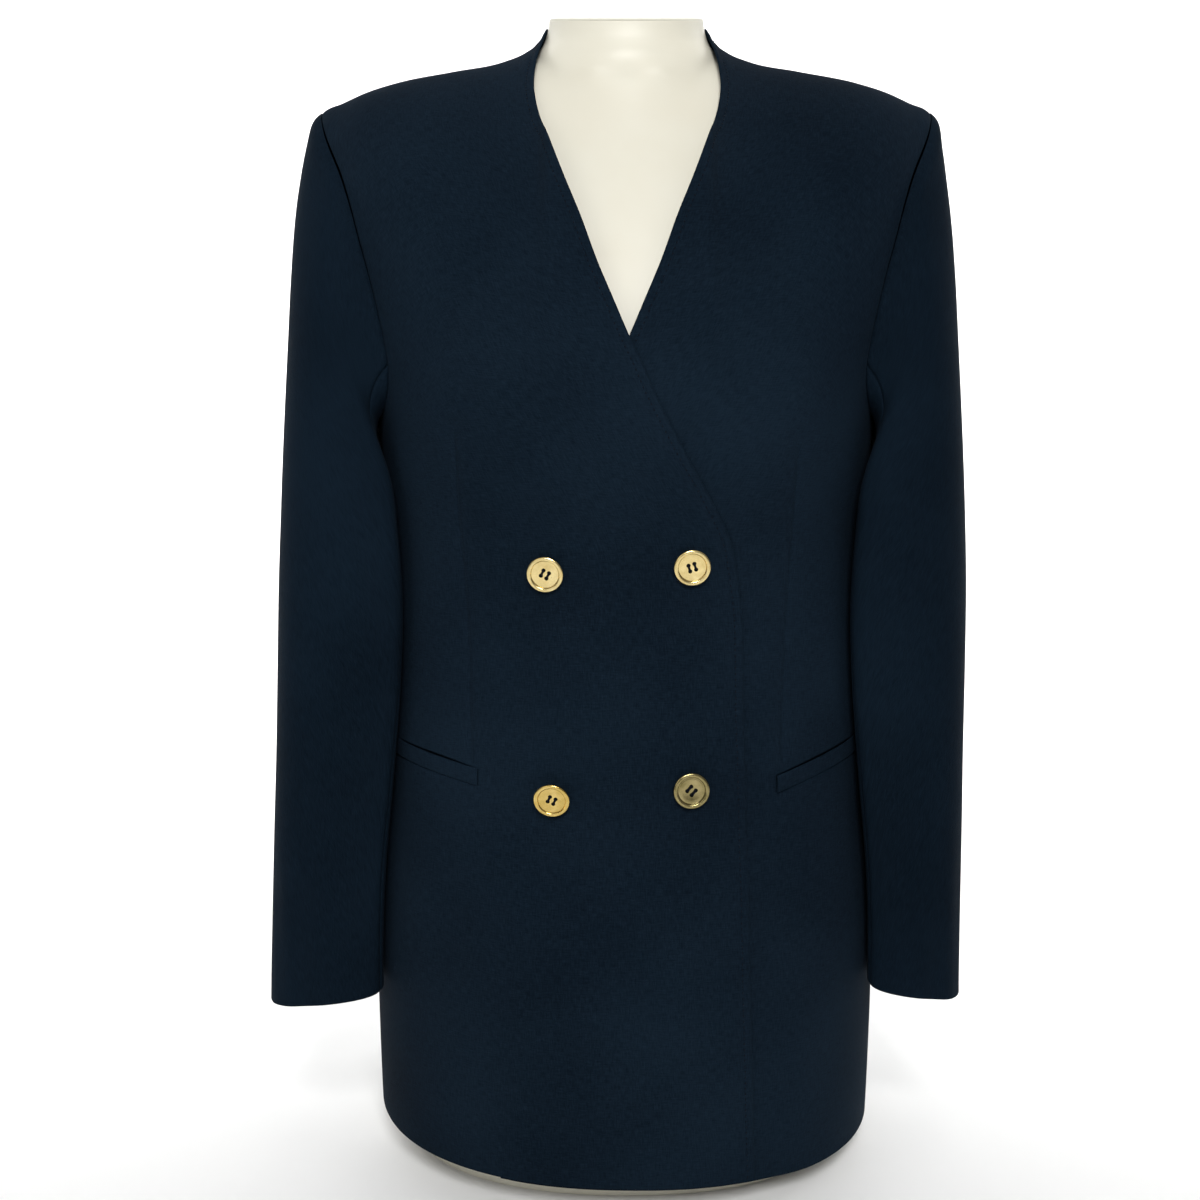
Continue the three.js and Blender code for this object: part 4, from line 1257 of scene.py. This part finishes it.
@dataclass(frozen=True)
class Welt:
    """A pocket welt: the front's own surface along the pocket, moved out.

    It runs from start to end across, stands proud of its seat, and lies in a bed that is sunk
    into the front, which opens deeper behind the mouth.
    """

    side: Side
    start: float = 96.0
    end: float = 156.0
    height: float = 10.0
    seat: float = 0.35
    proud: float = 1.1
    sunk: float = 1.15
    opening: float = 3.4
    bow: float = 0.9
    cut: Cut = Cut(0.089, 0.010)

    @staticmethod
    def recess(x: Array, z: Array, side: Side) -> Array:
        """How far the front is let in round its pocket.

        Args:
            x: distance from the centre.
            z: height.
            side: the side that the pocket is on.

        Returns:
            The welt's bed along the pocket, and the opening behind its mouth.
        """
        below = Welt.mouth(x, side) - z
        along = ease(Welt.start - 0.4, Welt.start + 0.3, x) * (1 - ease(Welt.end, Welt.end + 1.5, x))
        middle = np.sin(np.clip((x - Welt.start) / (Welt.end - Welt.start), 0, 1) * math.pi)
        gap = 0.9 + 1.1 * middle
        bed = along * ease(-gap, 1.2 - gap, below) * (1 - ease(Welt.height - 0.4, Welt.height + 1.5, below))
        deep = mix(Welt.sunk, Welt.opening, middle**0.5)
        return bed * mix(deep, Welt.sunk, ease(1.5, 5, below))

    @staticmethod
    def mouth(x: Array, side: Side) -> Array:
        """The height of the pocket's mouth: a line that bows up a little."""
        part = np.clip((x - Welt.start) / (Welt.end - Welt.start), 0, 1)
        return mix(side.welt_in - 0.8, side.welt_out, part) + Welt.bow * np.sin(part * math.pi)

    def make(self, dresser: Dresser) -> None:
        """Builds the welt. Its mouth, along the top, stands away a little in the middle."""
        t = np.linspace(0, 1, 72)[None]
        up = np.linspace(0, 1, 16)[:, None]
        x = mix(self.start, self.end, np.sin(t * math.pi / 2) + 0 * up)
        part = (x - self.start) / (self.end - self.start)
        z = self.mouth(x, self.side) - self.height * (1 - up)
        grid = np.stack([x, front_y(x, z), z], axis=-1)
        normals = grid_normals(grid, 1)
        gape = 0.55 * np.sin(part * math.pi) ** 0.6 * up**2.5
        crown = 0.35 * np.sin(up * math.pi) + 0.12 * np.sin(part * 17) * up
        lift = self.seat + self.proud + gape + crown - self.sunk
        outer = grid + normals * lift[..., None]
        name = f"pocket_welt_{self.side.name}"
        made = dresser.sew(name, self.side, outer, -normals * self.proud, ("top",), dresser.wool)
        self.cut.declare(made, outer, "stretched", [f"cloth_front_{self.side.name}"])


@dataclass(frozen=True)
class Button:
    """A dished gilt button with four holes, sewn through with dark thread.

    The lean is in degrees: it nods forward and turns aside. The spin turns its holes.
    """

    name: str
    x: float
    z: float
    nod: float
    turn: float
    spin: float
    tone: Tone
    hole_radius: float = 1.3
    hole_offset: float = 1.9
    thread_radius: float = 0.46
    strand: float = 0.28
    thread_low: float = 0.9
    thread_high: float = 2.35

    def facing(self) -> tuple[Vector, Vector]:
        """Where the button's back lies, and the way that its face looks."""
        spread = 3.0
        x, z = np.array(self.x), np.array(self.z)
        across = float(front_y(x + spread, z) - front_y(x - spread, z)) / (2 * spread)
        upward = float(front_y(x, z + spread) - front_y(x, z - spread)) / (2 * spread)
        normal = Vector((across, -1, upward)).normalized()
        lean = (Matrix.Rotation(math.radians(self.turn), 3, "Z")
                @ Matrix.Rotation(math.radians(self.nod), 3, "X"))
        face = lean @ normal
        seat = SEAM_GAP + BUTTON_RADIUS * 0.75 * math.sin(face.angle(normal))
        return Vector((self.x, float(front_y(x, z)), self.z)) + normal * seat, face

    def disc(self) -> Object:
        """The dished disc, from its back over the rim and the groove to its face, with its holes."""
        profile = np.array([
            (0, 0), (4, 0), (8.4, 0.02), (9.8, 0.42), (10.9, 1.1), (11.35, 1.6), (BUTTON_RADIUS, 2.2),
            (11.35, 2.7), (11.0, 3.05), (10.5, 3.27), (9.9, 3.3), (9.3, 3.18), (8.9, 2.9), (8.65, 2.45),
            (8.5, 2.05), (8.3, 1.95), (8.0, 2.0), (7.2, 2.02), (6.0, 1.95), (4.6, 1.82), (3.2, 1.74),
            (1.6, 1.7), (0, 1.7),
        ])
        disc = Mesher.lathe(f"gilt_{self.name}", profile, 72)
        r, o = self.hole_radius, self.hole_offset * MILLIMETRE
        hole = np.array([(0, -3), (r, -3), (r, 1.7), (1.06 * r, 2.05), (1.3 * r, 2.3), (1.3 * r, 6), (0, 6)])
        for x, y in ((-o, -o), (-o, o), (o, -o), (o, o)):
            cutter = Mesher.lathe("hole", hole, 20)
            cutter.data.transform(Matrix.Translation((x, y, 0)))
            cut = disc.modifiers.new("hole", "BOOLEAN")
            cut.object, cut.operation, cut.solver = cutter, "DIFFERENCE", "EXACT"
            bpy.context.view_layer.objects.active = disc
            bpy.ops.object.modifier_apply(modifier=cut.name)
            bpy.data.objects.remove(cutter, do_unlink=True)
        return disc

    def threads(self) -> Object:
        """The strands from hole to hole: up through one, over the face and down the other."""
        o, low, high = self.hole_offset, self.thread_low, self.thread_high
        starts, ends = [], []
        for x in (-o - self.strand, -o + self.strand, o - self.strand, o + self.strand):
            starts += [(x, -o, low), (x, -o * 0.95, high), (x, o, low)]
            ends += [(x, -o * 0.8, high), (x, o * 0.95, high), (x, o * 0.8, high)]
        return Mesher.capsules(f"threads_{self.name}", np.array(starts), np.array(ends),
                               self.thread_radius, 8)

    def make(self, dresser: Dresser) -> None:
        """Builds the button and its threads, and turns both to the button's place."""
        disc, thread = self.disc(), self.threads()
        seat, face = self.facing()
        place = Matrix.Translation(seat * MILLIMETRE) @ face.to_track_quat("Z", "Y").to_matrix().to_4x4()
        place = place @ Matrix.Rotation(math.radians(self.spin), 4, "Z")
        for made in (disc, thread):
            made.data.transform(place)
        disc.data.polygons.foreach_set("use_smooth", np.ones(len(disc.data.polygons), bool))
        disc.data.set_sharp_from_angle(angle=math.radians(38))
        dresser.dress(disc, dresser.gilt[self.tone], self.name)
        dresser.dress(thread, dresser.thread)


# The lower buttons' warmer and darker gilts are painted reflection, not a different metal.
BUTTONS = (
    Button("button_upper_right", -51, 418.5, 4, 4, -27, Tone.PALE),
    Button("button_upper_left", 39, 423, 2, -3, 18, Tone.PALE),
    Button("button_lower_right", -47, 276.5, 20, 3, -25, Tone.WARM_PAINTED_REFLECTION),
    Button("button_lower_left", 39.5, 282, 3, -2, -42, Tone.DARK_PAINTED_REFLECTION),
)


@dataclass(frozen=True)
class DressForm:
    """A plain limbless form: rings of trunk and neck blended into one another."""

    levels: tuple[float, ...] = (0, 45, 95, 150, 205, 260, 315, 370, 425, 475, 520, 560, 600, 635, 665,
                                 688, 704, 716, 725, 732, 739, 744, 749, 755, 762, 769, 776)
    sides: int = 120
    clear: float = CLOTH + 2.1
    cut_from: float = 742.0
    cut_middle: float = 22.0
    cut_slope: float = math.tan(math.radians(11))
    neck_from: float = 560.0
    cap_half: float = 66.0

    def trunk(self, angle: Array, z: Array) -> Array:
        """How far the trunk reaches from the centre line towards an angle, by halving a range."""
        half = FORM("half", z)
        ahead = np.cos(angle) > 0
        depth = np.where(ahead, FORM("front", z) + SEAM_Y, FORM("back", z) - SEAM_Y)
        low, high = np.zeros_like(z), np.full_like(z, 260.0)
        for _ in range(30):
            reach = (low + high) / 2
            x = reach * np.abs(np.sin(angle))
            top = np.minimum(ridge(x), float(ridge(np.array(self.cap_half)))) - self.clear
            keep = np.where(ahead, CHEST_SLOPE.keep(x, top, z), BACK_SLOPE.keep(x, top, z))
            surface = depth * girth(x, half) * keep
            inside = (x < half) & (z < top) & (reach * np.abs(np.cos(angle)) < surface)
            low, high = np.where(inside, reach, low), np.where(inside, high, reach)
        return low

    def neck(self, angle: Array, z: Array) -> Array:
        """How far the neck reaches: the radius of an ellipse with its own depth front and back."""
        depth = np.where(np.cos(angle) > 0, FORM_NECK("front", z), FORM_NECK("back", z))
        return 1 / np.hypot(np.sin(angle) / FORM_NECK("half", z), np.cos(angle) / depth)

    @staticmethod
    def collarbone(x: Array, z: Array) -> Array:
        """The faint heads of the collarbones and the hollow between them."""
        heads = 1.3 * bell(np.abs(x) - 22, 9) * bell(z - 734, 5)
        hollow = 1.8 * bell(x, 10) * bell(z - 737, 8)
        return heads - hollow

    def make(self, dresser: Dresser) -> None:
        """Builds the form, flat below, with a softly rounded edge where the neck is cut."""
        count, top = len(self.levels), self.levels[-1]
        level = np.interp(np.linspace(0, count - 1, 6 * count), np.arange(count), self.levels)
        rim = top - np.array([1.6, 0.7, 0.2, 0, 0, 0, 0])
        level = np.concatenate([[0, 0, 0, 0, 1.2], level[1:-1], rim])
        shrink = np.concatenate([[0, 0.4, 0.8, 0.985], np.ones(6 * count - 1),
                                 [0.998, 0.99, 0.972, 0.94, 0.8, 0.4, 0]])
        angle = np.linspace(0, 2 * math.pi, self.sides, endpoint=False)[None]
        z, angle = np.broadcast_arrays(level[:, None], angle)
        z = z.astype(float)
        trunk = self.trunk(angle, z)
        neck = np.where(z > self.neck_from, self.neck(angle, z), 0)
        reach = (trunk**NECK_BLEND + neck**NECK_BLEND) ** (1 / NECK_BLEND) * shrink[:, None]
        reach = reach + self.collarbone(reach * np.sin(angle), z) * (np.cos(angle) > 0)
        y = SEAM_Y - reach * np.cos(angle)
        slant = self.cut_slope * (y - self.cut_middle) * ease(self.cut_from, top, z)
        points = np.stack([reach * np.sin(angle), y, z + slant], axis=-1)
        made = Mesher.rings("smooth_form", points[1:-1], np.stack([points[0, 0], points[-1, 0]]))
        dresser.dress(made, dresser.enamel, "dress_form")


# Square lamps: name, place and target in metres, width and power

LAMPS = (
    ("key", (0.12, -2.3, 2.0), (0, 0, 0.44), 0.9, 52),
    ("fill", (-1.5, -2.0, 1.2), (0, 0, 0.4), 1.4, 6),
    ("top", (0.1, 0.3, 2.6), (0, 0, 0.4), 1.2, 5),
    ("backdrop_right", (-1.6, 0.9, 1.7), (-0.9, 2.6, 0.7), 1.6, 66),
    ("backdrop_left", (1.6, 0.9, 1.7), (0.9, 2.6, 0.7), 1.6, 66),
)


@dataclass(frozen=True)
class Studio:
    """The pale floor and backdrop, soft lights and the camera at the photo's viewing angle."""

    lens: float = 48.0
    place: Triple = (-0.0175, -1.106, 0.557)
    tilt: float = 81.0
    sensor: float = 36.0
    world: float = 0.2

    def make(self, dresser: Dresser) -> None:
        """Builds the studio."""
        self.sweep(dresser)
        self.camera()
        for lamp in LAMPS:
            self.lamp(*lamp)
        world = bpy.data.worlds.new("studio")
        world.use_nodes = True
        light = world.node_tree.nodes["Background"].inputs
        light["Color"].default_value, light["Strength"].default_value = (1, 1, 1, 1), self.world
        bpy.context.scene.world = world
        bpy.context.scene.view_settings.view_transform = "Standard"

    def sweep(self, dresser: Dresser) -> None:
        """The floor, carried up in a quarter circle to a backdrop behind the object."""
        near, back, bend, wide, high = -8000.0, 2600.0, 700.0, 9000.0, 6000.0
        turn = np.linspace(0, math.pi / 2, 24)
        y = np.concatenate([[near], back - bend + bend * np.sin(turn), [back]])[:, None]
        z = np.concatenate([[0.0], bend - bend * np.cos(turn), [high]])[:, None]
        x = np.linspace(-wide, wide, 3)[None]
        points = np.stack([x + 0 * y, y + 0 * x, z + 0 * x], axis=-1)
        quads = Mesher.quads(np.arange(y.size * 3).reshape(-1, 3))
        mesh = bpy.data.meshes.new("studio_sweep")
        mesh.from_pydata((points.reshape(-1, 3) * MILLIMETRE).tolist(), [], quads.tolist())
        mesh.polygons.foreach_set("use_smooth", np.ones(len(mesh.polygons), bool))
        mesh.materials.append(dresser.paper)
        link("studio_sweep", mesh)

    def camera(self) -> None:
        """The camera."""
        data = bpy.data.cameras.new("camera")
        data.lens, data.sensor_width = self.lens, self.sensor
        made = link("camera", data)
        made.location, made.rotation_euler = self.place, (math.radians(self.tilt), 0, 0)
        bpy.context.scene.camera = made

    @staticmethod
    def lamp(name: str, place: Triple, target: Triple,
             size: float, power: float) -> None:
        """A square soft light that looks at a target."""
        data = bpy.data.lights.new(name, "AREA")
        data.size, data.energy = size, power
        made = link(name, data)
        made.location = place
        made.rotation_euler = (Vector(target) - Vector(place)).to_track_quat("-Z", "Y").to_euler()


def main() -> None:
    """Builds the studio and every piece."""
    logging.basicConfig(level=logging.INFO, format="%(name)s: %(message)s")
    dresser = Dresser()
    Studio().make(dresser)
    DressForm().make(dresser)
    for side in (RIGHT, LEFT):
        Front(side).make(dresser)
        Back(side).make(dresser)
        Sleeve(side).make(dresser)
        Welt(side).make(dresser)
    for button in BUTTONS:
        button.make(dresser)


if __name__ == "__main__":
    main()
